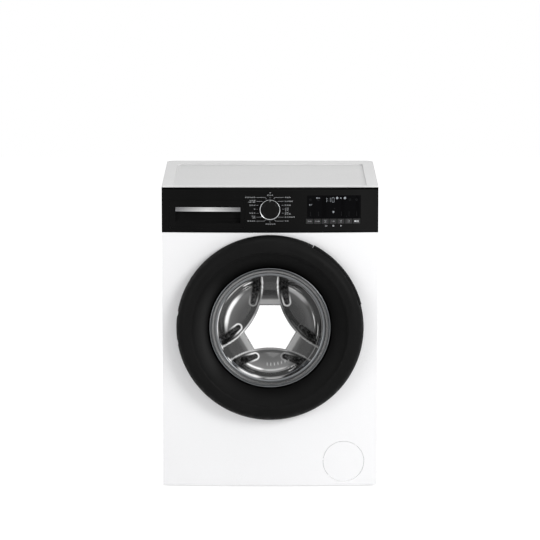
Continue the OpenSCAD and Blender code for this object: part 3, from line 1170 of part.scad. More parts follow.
// middle line of a spring: straight shank, coil, straight shank
function spring_path() = concat([[0, 0, spring_z0], [0, 0, coil_z0 - 12]],
    [for (i = [0:coil_turns * coil_steps]) let (t = i / coil_steps * 360,
        r = coil_r * min(1, min(i, coil_turns * coil_steps - i) / coil_steps * 2 + 0.12))
        [r * cos(t), r * sin(t), coil_z0 + (coil_z1 - coil_z0) * i / (coil_turns * coil_steps)]],
    [[0, 0, coil_z1 + 12], [0, 0, spring_z1]]);
// ring of points round a path's point
function ring_at(p, q, r, n) = let (d = (q - p) / norm(q - p), u = cross(d, [0.31, 0.17, 0.93]), a = u / norm(u), b = cross(d, a))
    [for (k = [0:n - 1]) p + r * cos(360 * k / n) * a + r * sin(360 * k / n) * b];
module swept(path, r, n) {
    m = len(path);
    pts = [for (i = [0:m - 1]) each ring_at(path[i], path[i] + (path[min(i + 1, m - 1)] - path[max(i - 1, 0)]), r, n)];
    polyhedron(pts, concat([[for (k = [0:n - 1]) k]],
        [for (i = [0:m - 2], k = [0:n - 1]) [i * n + k, (i + 1) * n + k, (i + 1) * n + (k + 1) % n, i * n + (k + 1) % n]],
        [[for (k = [n - 1:-1:0]) (m - 1) * n + k]]));
}
module suspension_springs() color("silver") for (x = [-spring_x, spring_x])
    translate([x, brace_y, 0]) swept(spring_path(), spring_wire / 2, 6);

// ---- dampers ----
damper_a = atan2(damper_x - damper_top[0], door_z + damper_top[1] - damper_pin_z);
damper_l = norm([damper_x - damper_top[0], door_z + damper_top[1] - damper_pin_z]);
module damper() difference() {
    union() {
        rotate([90, 0, 0]) cylinder(d = damper_pin_d + 9, h = 27, center = true, $fn = 48);
        translate([0, 0, 6]) cylinder(d = 25, h = damper_l * 0.55, $fn = 48);
        translate([0, 0, 6]) cylinder(d = 10, h = damper_l - 8, $fn = 32);
        translate([0, 0, damper_l]) rotate([90, 0, 0]) cylinder(d = damper_pin_d + 9, h = 27, center = true, $fn = 48);
    }
    for (z = [0, damper_l]) translate([0, 0, z]) rotate([90, 0, 0])
        cylinder(d = damper_pin_d + 0.6, h = 40, center = true, $fn = 48);
}
module dampers() color([0.2, 0.2, 0.2]) mirrored_x()
    translate([damper_x, damper_y, damper_pin_z]) rotate([0, -damper_a, 0]) damper();

side_panels();
rear_panel();
front_panel();
base_frame();
cross_brace();
top_frame();
top_board();
control_fascia();
display_window();
control_board();
dispenser_housing();
hinge_bracket();
door_lock();
inlet_valve();
drain_pump();
drain_spigot();
mains_gland();
foot_locknuts();
panel_screws();
dampers();
suspension_springs();
door_gasket();
sump_hose();
fill_hose();
drain_hose();
feet();
door_ring();
door_inner_frame();
door_trim_ring();
door_glass();
hinge_leaf();
hinge_pin();
door_handle();
door_hook();
drawer_front();
drawer_grip_bar();
drawer_tray();
dial_knob();
dial_ring();
key_1();
key_2();
key_3();
key_4();
key_5();
key_6();
key_7();
filter_cover();
pump_filter();
tub_front();
tub_rear();
counterweights();
motor();
heater();
drive_belt();
drum_bearings();
drum_shell();
drum_lifters();
drum_spider();
drum_pulley();
motor_pulley();
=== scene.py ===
"""Looks of a front load washing machine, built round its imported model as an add-on would build them."""
import json
import math

import bpy
from bpy.props import FloatProperty, FloatVectorProperty, IntProperty, PointerProperty
from mathutils import Matrix, Vector


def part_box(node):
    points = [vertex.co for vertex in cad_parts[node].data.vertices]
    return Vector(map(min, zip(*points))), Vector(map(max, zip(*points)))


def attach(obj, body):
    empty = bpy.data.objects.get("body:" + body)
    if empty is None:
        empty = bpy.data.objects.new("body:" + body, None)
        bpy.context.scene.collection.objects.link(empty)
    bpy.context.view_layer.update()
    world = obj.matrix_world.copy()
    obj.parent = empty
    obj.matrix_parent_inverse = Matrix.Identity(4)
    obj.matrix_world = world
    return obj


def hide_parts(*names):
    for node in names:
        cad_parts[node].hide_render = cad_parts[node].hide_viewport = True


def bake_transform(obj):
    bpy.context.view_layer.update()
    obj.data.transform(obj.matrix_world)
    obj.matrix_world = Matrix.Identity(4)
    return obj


bl_info = {
    "name": "Washing Machine Finish",
    "version": (1, 0, 0),
    "blender": (4, 5, 0),
    "location": "View3D > Sidebar > Washer",
    "description": "Finishes, markings and detailed pieces of a front load washing machine",
    "category": "Object",
}

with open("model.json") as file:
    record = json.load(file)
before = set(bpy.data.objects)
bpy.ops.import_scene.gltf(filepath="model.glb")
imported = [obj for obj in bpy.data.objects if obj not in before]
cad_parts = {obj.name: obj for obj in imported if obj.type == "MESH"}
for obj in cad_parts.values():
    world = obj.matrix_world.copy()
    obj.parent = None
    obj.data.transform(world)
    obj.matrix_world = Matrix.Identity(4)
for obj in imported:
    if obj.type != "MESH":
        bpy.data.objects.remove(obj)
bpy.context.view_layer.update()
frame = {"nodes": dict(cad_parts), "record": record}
NODES = frame["nodes"]

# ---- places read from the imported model, in metres ----
DOOR_LOW, DOOR_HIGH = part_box("door_ring")
DOOR_Z = (DOOR_LOW.z + DOOR_HIGH.z) / 2
RING_R = (DOOR_HIGH.z - DOOR_LOW.z) / 2
PANEL_LOW, PANEL_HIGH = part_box("front_panel")
FRONT_Y = PANEL_LOW.y                     # foremost line of the bowed front
HALF_W = PANEL_HIGH.x
BOW = 0.010                               # how far the front bulges
BOW_R = HALF_W * HALF_W / (2 * BOW) + BOW / 2
FASCIA_LOW, FASCIA_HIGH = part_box("control_fascia")
DIAL_LOW, DIAL_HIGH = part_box("dial_knob")
DIAL_Z = (DIAL_LOW.z + DIAL_HIGH.z) / 2
DIAL_R = (DIAL_HIGH.z - DIAL_LOW.z) / 2
GLASS_LOW, GLASS_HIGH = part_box("door_glass")
TRIM_LOW, TRIM_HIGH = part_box("door_trim_ring")

PRINT_THICK = 0.00004                     # printing stands this high
PRINT_LIFT = 0.00002                      # and starts this far off its surface


def bow_y(x):
    """y of the bowed front at a distance x from the middle."""
    return FRONT_Y + BOW_R - math.sqrt(BOW_R * BOW_R - x * x)


def linear(code):
    """Linear RGBA of an sRGB code such as '#D5D5D5'; a colour that is linear already stays as it is."""
    if not isinstance(code, str):
        return tuple(code)
    channels = [int(code[i:i + 2], 16) / 255 for i in (1, 3, 5)]
    return tuple(c / 12.92 if c <= 0.04045 else ((c + 0.055) / 1.055) ** 2.4 for c in channels) + (1.0,)


def tinted(colour, share):
    """A colour made darker (share below 1) or lighter."""
    return tuple(min(1.0, c * share) for c in linear(colour)[:3]) + (1.0,)


# ================= sizes and colours a user would change =================
def colour_setting(name, description, code):
    """A colour property with its default from an sRGB code."""
    return FloatVectorProperty(name=name, description=description, subtype="COLOR", size=4, min=0, max=1,
                               default=linear(code))


def length_setting(name, description, default):
    """A length property in metres."""
    return FloatProperty(name=name, description=description, subtype="DISTANCE", unit="LENGTH",
                         default=default)


class WasherColours(bpy.types.PropertyGroup):
    """Colours of the shown surfaces"""
    body: colour_setting("Body", "Enamel of the cabinet", "#F4F4F5")
    worktop: colour_setting("Worktop", "Laminate of the sunk worktop", "#D2D2D2")
    fascia: colour_setting("Fascia", "Gloss moulding of the control fascia", "#0B0B0B")
    door: colour_setting("Door ring", "Satin moulding of the door ring", "#151515")
    ink: colour_setting("Printing", "Pad printing on the fascia and the keys", "#D4D6D8")
    display: colour_setting("Display", "Lit digits of the display", "#C6CCD2")
    # painted light: the nose is white and glows, standing in for the lit back of the drum seen through the
    # glass
    nose: colour_setting("Nose", "White backing of the bowl's nose", "#FFFFFF")


class WasherSizes(bpy.types.PropertyGroup):
    """Sizes of the detailed pieces"""
    digit_h: length_setting("Number height", "Font size of the numbers round the dial", 0.0046)
    display_digit: length_setting("Display digit", "Height of the display's digits", 0.013)
    glass_wall: length_setting("Glass wall", "Thickness of the bowl along the machine's depth", 0.0045)
    fillet: length_setting("Glass fillet", "Rounding between the bowl's faces", 0.003)
    glass_sectors: IntProperty(name="Glass sectors", description="Divisions of the bowl round its axis",
                               default=320)
    glass_rings: IntProperty(name="Glass rings", description="Divisions of the bowl from nose to rim",
                             default=112)


def colours():
    """The scene's colour settings."""
    return bpy.context.scene.washer_colours


def sizes():
    """The scene's size settings."""
    return bpy.context.scene.washer_sizes


# ================= material helpers =================
def add_node(tree, kind, inputs=None, output=0, ramp=(), **settings):
    """Adds a shader node with its settings and the stops of its ramp, sets or links its inputs by name or
    number, and returns one of its outputs."""
    made = tree.nodes.new("ShaderNode" + kind)
    for name, value in settings.items():
        setattr(made, name, value)
    for number, (place, colour) in enumerate(ramp):
        made.color_ramp.elements[number].position = place
        made.color_ramp.elements[number].color = linear(colour)
    for name, value in (inputs or {}).items():
        if isinstance(value, bpy.types.NodeSocket):
            tree.links.new(value, made.inputs[name])
        else:
            made.inputs[name].default_value = value
    return made.outputs[output] if made.outputs else None


def start_material(name, **sockets):
    """A material with one Principled shader, whose plain sockets are set here; returns the material, its
    shader, the call that adds a node to it, and its object coordinates."""
    material = bpy.data.materials.new(name)
    material.use_nodes = True
    tree = material.node_tree
    tree.nodes.clear()
    shader = add_node(tree, "BsdfPrincipled", {k.replace("_", " "): v for k, v in sockets.items()}).node
    add_node(tree, "OutputMaterial", {"Surface": shader.outputs[0]})

    def add(kind, inputs=None, to=None, **settings):
        """Adds a node, whose output may feed a socket of the shader."""
        made = add_node(tree, kind, inputs, **settings)
        if to:
            tree.links.new(made, shader.inputs[to])
        return made

    return material, shader, add, add("TexCoord", output="Object")


def dress(add, tone, shades, sheen, rough, height, depth_mm=0.02, strength=1.0):
    """Gives the shader its colour by (place, colour) stops over a tone, its roughness by (place, roughness)
    ends over a sheen, and a bump of depth_mm; without shades the colour is left to its material."""
    if shades:
        add("ValToRGB", {"Fac": tone}, ramp=shades, to="Base Color")
    (start, low), (end, high) = rough
    add("MapRange", {"Value": sheen, "From Min": start, "From Max": end, "To Min": low, "To Max": high},
        to="Roughness")
    add("Bump", {"Height": height, "Distance": depth_mm / 1000, "Strength": strength}, to="Normal")


# ================= finishes =================
def finish(name, dark, light, grain_mm, rough, bump_mm, patch_mm=90, stretch=(1, 1, 1), detail=3.0,
           **sockets):
    """A surface whose colour and roughness drift in patches and whose fine grain gives its relief."""
    material, _, add, where = start_material(name, **sockets)
    laid = add("Mapping", {"Vector": where, "Scale": stretch})
    grain = add("TexNoise", {"Vector": laid, "Scale": 1000 / grain_mm, "Detail": detail})
    patch = add("TexNoise", {"Vector": where, "Scale": 1000 / patch_mm, "Detail": 3.0})
    both = add("Math", {0: grain, 1: patch}, operation="ADD")
    drift = add("Math", {0: both, 1: 0.5}, operation="MULTIPLY")
    dress(add, drift, ((0.36, dark), (0.64, light)), drift, ((0.3, rough[0]), (0.7, rough[1])), grain,
          bump_mm)
    return material


def grained_moulding(name, dark, light, grain_mm=0.9, rough=(0.48, 0.6), bump_mm=0.03, **sockets):
    """Injection moulding from a spark-eroded mould: fine even grain that scatters the light."""
    return finish(name, dark, light, grain_mm, rough, bump_mm, detail=2.0, **sockets)


def raw_casting(name, dark, light, rough=(0.42, 0.6), metallic=0.9, grain_mm=1.6, bump_mm=0.08):
    """Die or sand casting as it leaves the mould: mottled skin with a sandy grain."""
    return finish(name, dark, light, grain_mm, rough, bump_mm, patch_mm=26, detail=5.0, Metallic=metallic)


def soft_rubber(name, dark, light, rough=(0.55, 0.72)):
    """Moulded rubber: dull, slightly chalky where the bloom has come out."""
    return finish(name, dark, light, 0.7, rough, 0.02, patch_mm=34, Specular_IOR_Level=0.3)


def melamine_board():
    """Melamine laminate: pale grey paper under a pearl-finish press plate, with tiny flecks."""
    colour = colours().worktop
    material, _, add, where = start_material("melamine_laminate", Specular_IOR_Level=0.45)
    fleck = add("TexNoise", {"Vector": where, "Scale": 1000 / 1.6, "Detail": 4.0})
    patch = add("TexNoise", {"Vector": where, "Scale": 1000 / 140, "Detail": 3.0})
    pearl = add("TexNoise", {"Vector": where, "Scale": 1000 / 2.4, "Detail": 2.0})
    dress(add, fleck, ((0.42, tinted(colour, 0.94)), (0.6, tinted(colour, 1.03))),
          patch, ((0, 0.34), (1, 0.46)), pearl, 0.03)
    return material


def polish(add, where, haze):
    """A mirror skin: haze wiped in upright patches between two roughnesses, hairline swirls and a slow
    wave; returns the pattern of the haze."""
    tall = add("Mapping", {"Vector": where, "Scale": (1, 1, 0.35)})
    wipe = add("TexNoise", {"Vector": tall, "Scale": 1000 / 60, "Detail": 4.0})
    flat = add("Mapping", {"Vector": where, "Scale": (1, 1, 9)})
    hair = add("TexNoise", {"Vector": flat, "Scale": 1000 / 1.4, "Detail": 5.0})
    faint = add("Math", {0: hair, 1: 0.3}, operation="MULTIPLY")
    swirls = add("Math", {0: wipe, 1: faint}, operation="ADD")
    wave = add("TexNoise", {"Vector": where, "Scale": 1000 / 24, "Detail": 1.0})
    dress(add, None, None, swirls, ((0.4, haze[0]), (0.9, haze[1])), wave, 0.02, 0.4)
    return wipe


def dial_moulding():
    """High-gloss black ABS of the dial's cap: deep colour under a mirror skin."""
    material, _, add, where = start_material("dial_black_abs", Specular_IOR_Level=0.07)
    wipe = polish(add, where, (0.2, 0.3))
    add("ValToRGB", {"Fac": wipe}, ramp=((0.3, tinted("#121212", 0.9)), (0.7, tinted("#121212", 1.12))),
        to="Base Color")
    return material


def fascia_moulding():
    """Gloss black ABS of the fascia: wiping haze, a painted sheen to the right, painted shade along its
    edges.
    """
    colour = colours().fascia
    material, _, add, where = start_material("piano_black_abs", Specular_IOR_Level=0.03)
    across, _, up = add("SeparateXYZ", {0: where}).node.outputs
    wipe = polish(add, where, (0.16, 0.26))
    # painted sheen: the face is painted lighter towards the display's end
    drift = add("ValToRGB", {"Fac": across},
                ramp=((0.0, tinted(colour, 1.35)), (0.32, tinted(colour, 4.6))))
    hazed = add("Mix", {0: wipe, 6: drift, 7: tinted(colour, 2.1)}, output=2, data_type="RGBA")
    # heights of the painted shade, black where the face turns over its top and bottom edges
    top = add("MapRange", {"Value": up, "From Min": FASCIA_HIGH.z - 0.0065,
                           "From Max": FASCIA_HIGH.z - 0.0035,
                           "To Min": 1.0, "To Max": 0.0})
    foot = add("MapRange", {"Value": up, "From Min": FASCIA_LOW.z + 0.0015,
                            "From Max": FASCIA_LOW.z + 0.0035})
    # painted shade: the face is black along its top and bottom edges
    face = add("Math", {0: top, 1: foot}, operation="MULTIPLY")
    add("Mix", {0: face, 6: linear("#000000"), 7: hazed}, output=2, data_type="RGBA", to="Base Color")
    return material


def door_moulding():
    """Black ABS of the door: satin on the flat ring, with painted shade down the funnel and over its outer
    edge, and a painted sheen where the funnel turns towards the handle side."""
    colour = colours().door
    material, _, add, where = start_material("satin_black_door_abs", Specular_IOR_Level=0.045)
    flat = add("Mapping", {"Vector": where, "Location": (0, 0, -DOOR_Z), "Scale": (1, 0, 1)})
    radius = add("VectorMath", {0: flat}, output="Value", operation="LENGTH")
    across = add("SeparateXYZ", {0: where})
    # (measure, where it starts and ends, share at each, curve): the painted shade down the funnel and on
    # the outer edge, then the side of the painted sheen and the inner and outer bounds of its band
    shares = [add("MapRange", {"Value": value, "From Min": start, "From Max": end, "To Min": low,
                               "To Max": high},
                  interpolation_type=curve)
              for value, start, end, low, high, curve in (
                  (radius, 0.166, 0.206, 0.0, 1.0, "SMOOTHSTEP"),
                  (radius, RING_R - 0.0040, RING_R - 0.0010, 1.0, 0.25, "LINEAR"),
                  (across, -0.180, -0.130, 1.0, 0.0, "LINEAR"),
                  (radius, 0.171, 0.183, 0.0, 1.0, "LINEAR"),
                  (radius, 0.190, 0.212, 1.0, 0.0, "LINEAR"))]
    funnel, edge, side, inner, outer = shares
    # painted shade: black down the funnel and along the outer edge
    lit = add("Math", {0: funnel, 1: edge}, operation="MULTIPLY")
    band = add("Math", {0: inner, 1: outer}, operation="MULTIPLY")
    painted_sheen = add("Math", {0: side, 1: band}, operation="MULTIPLY")
    tall = add("Mapping", {"Vector": where, "Scale": (1, 1, 0.35)})
    wipe = add("TexNoise", {"Vector": tall, "Scale": 1000 / 60, "Detail": 4.0})
    wiped = add("ValToRGB", {"Fac": wipe}, ramp=((0.3, tinted(colour, 0.9)), (0.7, tinted(colour, 1.12))))
    shaded = add("Mix", {0: lit, 6: linear("#020202"), 7: wiped}, output=2, data_type="RGBA")
    # painted sheen: a lighter band where the funnel turns towards the handle side
    add("Mix", {0: painted_sheen, 6: shaded, 7: linear("#242424")}, output=2, data_type="RGBA", to="Base Color")
    grain = add("TexNoise", {"Vector": where, "Scale": 1000 / 1.2, "Detail": 2.0})
    dress(add, None, None, wipe, ((0.3, 0.42), (0.7, 0.54)), grain, 0.01, 0.5)
    return material


def grip_foil():
    """Brushed aluminium foil over a shallow hollow: hairlines along it, with painted shade towards both
    ends.
    """
    low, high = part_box("drawer_grip_bar")
    middle, half = (low.x + high.x) / 2, (high.x - low.x) / 2
    material, _, add, where = start_material("brushed_aluminium_foil", Metallic=1.0)
    centred = add("Mapping", {"Vector": where, "Location": (-middle, 0, 0)})
    off = add("Math", {0: add("SeparateXYZ", {0: centred})}, operation="ABSOLUTE")
    # painted shade: the colour darkens from the middle towards both ends
    end = add("Math", {0: off, 1: 1 / half}, operation="MULTIPLY")
    long = add("Mapping", {"Vector": where, "Scale": (0.03, 1, 1)})
    hair = add("TexNoise", {"Vector": long, "Scale": 1000 / 1.1, "Detail": 4.0})
    uneven = add("Math", {0: hair, 1: 0.5}, operation="SUBTRACT")
    faint = add("Math", {0: uneven, 1: 0.3}, operation="MULTIPLY")
    painted_shade_and_hair = add("Math", {0: end, 1: faint}, operation="ADD")
    dress(add, painted_shade_and_hair, ((0.02, "#DCDCDC"), (0.98, "#79797B")), hair, ((0.3, 0.24), (0.7, 0.36)), hair, 0.01)
    return material


def drawn_metal(name, dark, light, stretch, rough=(0.24, 0.36), hair_mm=1.1):
    """Drawn, rolled or brushed metal: hairlines along one way, which smear the highlight across it."""
    material, _, add, where = start_material(name, Metallic=1.0)
    laid = add("Mapping", {"Vector": where, "Scale": stretch})
    hair = add("TexNoise", {"Vector": laid, "Scale": 1000 / hair_mm, "Detail": 4.0})
    dress(add, hair, ((0.3, dark), (0.7, light)), hair, ((0.3, rough[0]), (0.7, rough[1])), hair, 0.01)
    return material


def turned_metal(name, dark, light, middle, rough=(0.2, 0.34), pitch_mm=0.8):
    """Spun or turned metal: fine grooves that run round the y axis through the middle (x, z)."""
    material, _, add, where = start_material(name, Metallic=1.0)
    flat = add("Mapping", {"Vector": where, "Location": (-middle[0], 0, -middle[1]), "Scale": (1, 0, 1)})
    radius = add("VectorMath", {0: flat}, output="Value", operation="LENGTH")
    turns = add("Math", {0: radius, 1: 1000 / pitch_mm}, operation="MULTIPLY")
    grooves = add("TexNoise", {"W": turns, "Scale": 1.0, "Detail": 2.0}, noise_dimensions="1D")
    dress(add, grooves, ((0.35, dark), (0.65, light)), grooves, ((0.3, rough[0]), (0.7, rough[1])), grooves)
    return material


def galvanised_sheet():
    """Hot-dip galvanised steel: zinc crystals 6 to 14 mm across in different greys."""
    material, _, add, where = start_material("galvanised_sheet", Metallic=1.0)
    crystal = add("TexVoronoi", {"Vector": where, "Scale": 110.0}, output="Color")
    grey = add("SeparateColor", {0: crystal})
    bloom = add("TexNoise", {"Vector": where, "Scale": 1000 / 2.0, "Detail": 3.0})
    dress(add, grey, ((0, "#9A9EA2"), (1, "#C9CDD0")), grey, ((0, 0.3), (1, 0.5)), bloom)
    return material


def solder_mask():
    """Glass-epoxy board under green solder mask: copper tracks show as lighter bands on a 3 mm grid."""
    material, _, add, where = start_material("solder_mask_board", Specular_IOR_Level=0.5)
    tracks = add("TexBrick", {"Vector": where, "Scale": 60.0, "Mortar Size": 0.06, "Brick Width": 0.9,
                              "Row Height": 0.22, "Color1": linear("#0E5A33"), "Color2": linear("#11683B"),
                              "Mortar": linear("#3C9A5C")}, to="Base Color").node.outputs["Fac"]
    dress(add, None, None, tracks, ((0, 0.3), (1, 0.42)), tracks, 0.05)
    return material


def smoked_panel():
    """Smoked acrylic over the display: near-black, mirror-smooth, with a faint dot grid behind it."""
    material, _, add, where = start_material("smoked_acrylic", Specular_IOR_Level=0.05)
    add("TexBrick", {"Vector": where, "Scale": 500.0, "Mortar Size": 0.12, "Brick Width": 1.0,
                     "Row Height": 1.0,
                     "Color1": linear("#070708"), "Color2": linear("#08080A"), "Mortar": linear("#040405")},
        to="Base Color", offset=0.0)
    haze = add("TexNoise", {"Vector": where, "Scale": 1000 / 40, "Detail": 3.0})
    wave = add("TexNoise", {"Vector": where, "Scale": 1000 / 30, "Detail": 1.0})
    dress(add, None, None, haze, ((0, 0.1), (1, 0.17)), wave, 0.01, 0.3)
    return material


def printing_ink(name="pad_printing_ink", colour=None, glow=0.0, strength=1.0):
    """Pad-printing ink or a lit symbol: matt, slightly uneven where the pad lifted."""
    colour = tinted(colour or colours().ink, strength)
    material, _, add, where = start_material(name, Roughness=0.6, Specular_IOR_Level=0.2,
                                             Emission_Color=colour, Emission_Strength=glow)
    pad = add("TexNoise", {"Vector": where, "Scale": 1000 / 0.8, "Detail": 3.0})
    add("ValToRGB", {"Fac": pad}, ramp=((0.3, tinted(colour, 0.86)), (0.7, colour)), to="Base Color")
    return material


def pressed_glass():
    """Pressed borosilicate bowl: clear, smoky, in painted grey tones, with glowing painted highlights on
    its edges, six pockets in painted shade, and a glowing painted white nose, each laid down by an
    attribute of the mesh."""
    white = linear(colours().nose)
    # the white nose and the painted highlights glow at this strength, though the glass is no lamp
    material, _, add, where = start_material("pressed_glass", IOR=1.48, Emission_Strength=0.16)
    # attributes of painted light: the white nose, the shaded pockets, the painted highlights and the
    # painted tone
    nose, pocket, edge, tone = (add("Attribute", output="Fac", attribute_name=part)
                                for part in ("nose", "pocket", "edge", "tone"))
    # painted tone: reflection and shade of the glass, from black to near white
    clear = add("ValToRGB", {"Fac": tone}, ramp=((0, "#000000"), (1, "#FAFAFA")))
    # painted shade in the pockets, clouded along the depth
    deep = add("Mapping", {"Vector": where, "Scale": (1, 0.3, 1)})
    cloud = add("TexNoise", {"Vector": deep, "Scale": 1000 / 7, "Detail": 2.5})
    pocket_shade = add("ValToRGB", {"Fac": cloud}, ramp=((0.40, "#0A0A0A"), (0.75, "#585858")))
    dark = add("Mix", {0: pocket, 6: clear, 7: pocket_shade}, output=2, data_type="RGBA")
    # painted highlights: the edges go white
    glinted = add("Mix", {0: edge, 6: dark, 7: white}, output=2, data_type="RGBA")
    add("Mix", {0: nose, 6: glinted, 7: white}, output=2, data_type="RGBA", to="Base Color")
    glint_glow = add("Math", {0: edge, 1: 0.7}, operation="MULTIPLY")
    painted_glow = add("Math", {0: nose, 1: glint_glow}, operation="MAXIMUM")
    add("ValToRGB", {"Fac": painted_glow}, ramp=((0, "#000000"), (1, white)), to="Emission Color")
    cloudy = add("Math", {0: pocket, 1: 0.75}, operation="MULTIPLY")
    drawn_in = add("Math", {0: edge, 1: cloudy}, operation="MAXIMUM")
    filled = add("Math", {0: nose, 1: drawn_in}, operation="MAXIMUM")
    add("MapRange", {"Value": filled, "To Min": 0.42, "To Max": 0.0}, to="Transmission Weight")
    wave = add("TexNoise", {"Vector": where, "Scale": 1000 / 30, "Detail": 2.0})
    dress(add, None, None, filled, ((0, 0.03), (1, 0.22)), wave, 0.05, 0.35)
    return material


def coat(node):
    """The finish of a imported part."""
    return NODES[node].material_slots[0].material


# ================= modelling helpers =================
# steps for edited()
MERGE = ("remove_doubles", {"threshold": 0.000005})
OUTWARDS = ("normals_make_consistent", {"inside": False})


def deselect():
    """Leaves edit mode and selects nothing."""
    if bpy.context.object and bpy.context.object.mode != "OBJECT":
        bpy.ops.object.mode_set(mode="OBJECT")
    bpy.ops.object.select_all(action="DESELECT")


def pick(piece, *others):
    """Selects only these pieces, the first one active."""
    deselect()
    for each in (piece, *others):
        each.select_set(True)
    bpy.context.view_layer.objects.active = piece


def edited(piece, *steps):
    """Runs mesh operators on the whole piece; each step is an operator's name and its settings."""
    pick(piece)
    bpy.ops.object.mode_set(mode="EDIT")
    for name, settings in steps:
        bpy.ops.mesh.select_all(action="SELECT")
        getattr(bpy.ops.mesh, name)(**settings)
    bpy.ops.object.mode_set(mode="OBJECT")
    return piece


def thickened(piece, move):
    """Extrudes a sheet along move into a closed shell."""
    return edited(piece, ("extrude_region_move", {"TRANSFORM_OT_translate": {"value": move}}), OUTWARDS)


def named(piece, name):
    """Names the object and its data."""
    piece.name = name
    piece.data.name = name
    return piece


def primitive(kind, name, **settings):
    """Adds a mesh primitive with its place, turn and scale moved into its mesh."""
    deselect()
    scale = settings.pop("scale", (1, 1, 1))
    getattr(bpy.ops.mesh, f"primitive_{kind}_add")(**settings)
    made = named(bpy.context.object, name)
    made.scale = scale
    pick(made)
    bpy.ops.object.transform_apply(location=True, rotation=True, scale=True)
    return made


def modified(piece, kind, **settings):
    """Applies a modifier with these settings."""
    pick(piece)
    made = piece.modifiers.new(kind.title(), kind)
    for name, value in settings.items():
        setattr(made, name, value)
    bpy.ops.object.modifier_apply(modifier=made.name)
    return piece


def rounded(piece, width, segments=2, angle=30):
    """Rounds the edges that are sharper than the angle."""
    return modified(piece, "BEVEL", width=width, segments=segments, limit_method="ANGLE",
                    angle_limit=math.radians(angle))


def block(low, high, edge=0.0, segments=2, name="block"):
    """A box between two corners, with its edges rounded over edge."""
    middle = [(a + b) / 2 for a, b in zip(low, high)]
    made = primitive("cube", name, size=1, location=middle, scale=[b - a for a, b in zip(low, high)])
    return rounded(made, edge, segments) if edge else made


def smooth(piece, angle=35):
    """Shades smoothly across edges flatter than the angle."""
    pick(piece)
    bpy.ops.object.shade_smooth_by_angle(angle=math.radians(angle))
    return piece


def joined(name, pieces):
    """One piece of several."""
    pick(*pieces)
    if len(pieces) > 1:
        bpy.ops.object.join()
    return named(bpy.context.object, name)


def spun(name, outline, centre, axis=(0, 1, 0), steps=96, turn=2 * math.pi, tilt=0.0):
    """Spins a closed outline round an axis; each point is (distance from the axis, place along it)."""
    piece = primitive("circle", name, vertices=len(outline), radius=0.01)
    axis = Vector(axis)
    out = Vector((0, 0, 1)) if abs(axis.z) < 0.5 else Vector((1, 0, 0))
    out = Matrix.Rotation(tilt, 3, axis) @ out
    for vertex, (away, along) in zip(piece.data.vertices, outline):
        vertex.co = Vector(centre) + out * away + axis * along
    caps = [("edge_face_add", {})] if turn < 2 * math.pi else []
    return edited(piece, *caps, ("spin", {"steps": steps, "angle": turn, "center": centre, "axis": axis}),
                  MERGE, OUTWARDS)


def tube_along(name, points, radius, sides):
    """A round wire along a line of points, as a closed mesh."""
    curve = bpy.data.curves.new(name, "CURVE")
    curve.dimensions = "3D"
    curve.bevel_depth = radius
    curve.bevel_resolution = max(1, sides // 4)
    curve.use_fill_caps = True
    line = curve.splines.new("POLY")
    line.points.add(len(points) - 1)
    for point, place in zip(line.points, points):
        point.co = (*place, 1)
    made = bpy.data.objects.new(name, curve)
    bpy.context.collection.objects.link(made)
    pick(made)
    bpy.ops.object.convert(target="MESH")
    return edited(named(bpy.context.object, name), MERGE, OUTWARDS)


def at(x, y, z):
    """A place as a matrix."""
    return Matrix.Translation((x, y, z))


def turned(degrees, axis):
    """A turn about an axis as a matrix."""
    return Matrix.Rotation(math.radians(degrees), 4, axis)


def round_door(radius, degrees, y):
    """A place on a circle round the door's middle."""
    return radius * math.cos(math.radians(degrees)), y, DOOR_Z + radius * math.sin(math.radians(degrees))


def duplicate(piece):
    """A copy of a piece with its own mesh."""
    made = piece.copy()
    made.data = piece.data.copy()
    bpy.context.collection.objects.link(made)
    return made


def copies(name, piece, places):
    """One piece made of a copy of this one at each place, a matrix; the pattern itself goes."""
    made = [duplicate(piece) for _ in places]
    for each, place in zip(made, places):
        each.data.transform(place)
    bpy.data.objects.remove(piece)
    return joined(name, made)


def skinned(node, angle):
    """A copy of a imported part, its seams merged and its curves shaded smoothly, which stands for it."""
    piece = duplicate(NODES[node])
    piece.parent = None
    edited(named(piece, f"{node}_skin"), MERGE)
    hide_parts(node)
    return smooth(piece, angle)


def put(piece, body, material):
    """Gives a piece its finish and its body."""
    piece.data.materials.clear()
    piece.data.materials.append(material)
    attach(piece, body)
    return piece


def figures(text, size, x, z, align="CENTER"):
    """Raised figures, drawn flat in x and y."""
    deselect()
    bpy.ops.object.text_add(location=(0, 0, 0))
    made = bpy.context.object
    for setting, value in (("body", text), ("size", size), ("align_x", align), ("align_y", "CENTER"),
                           ("extrude", PRINT_THICK / 2), ("resolution_u", 2)):
        setattr(made.data, setting, value)
    pick(made)
    bpy.ops.object.convert(target="MESH")
    made.data.transform(at(x, z, 0))
    return made


def rows(lines, size, x, z, step, align="CENTER"):
    """Lines of figures under one another round a place."""
    return [figures(line, size, x, z + ((len(lines) - 1) / 2 - number) * step, align)
            for number, line in enumerate(lines)]


def stroke(x0, z0, x1, z1, width=0.0006):
    """A printed line, drawn flat in x and y."""
    made = primitive("cube", "stroke", size=1, scale=(math.hypot(x1 - x0, z1 - z0), width, PRINT_THICK))
    made.data.transform(at((x0 + x1) / 2, (z0 + z1) / 2, 0)
                        @ turned(math.degrees(math.atan2(z1 - z0, x1 - x0)), "Z"))
    return made


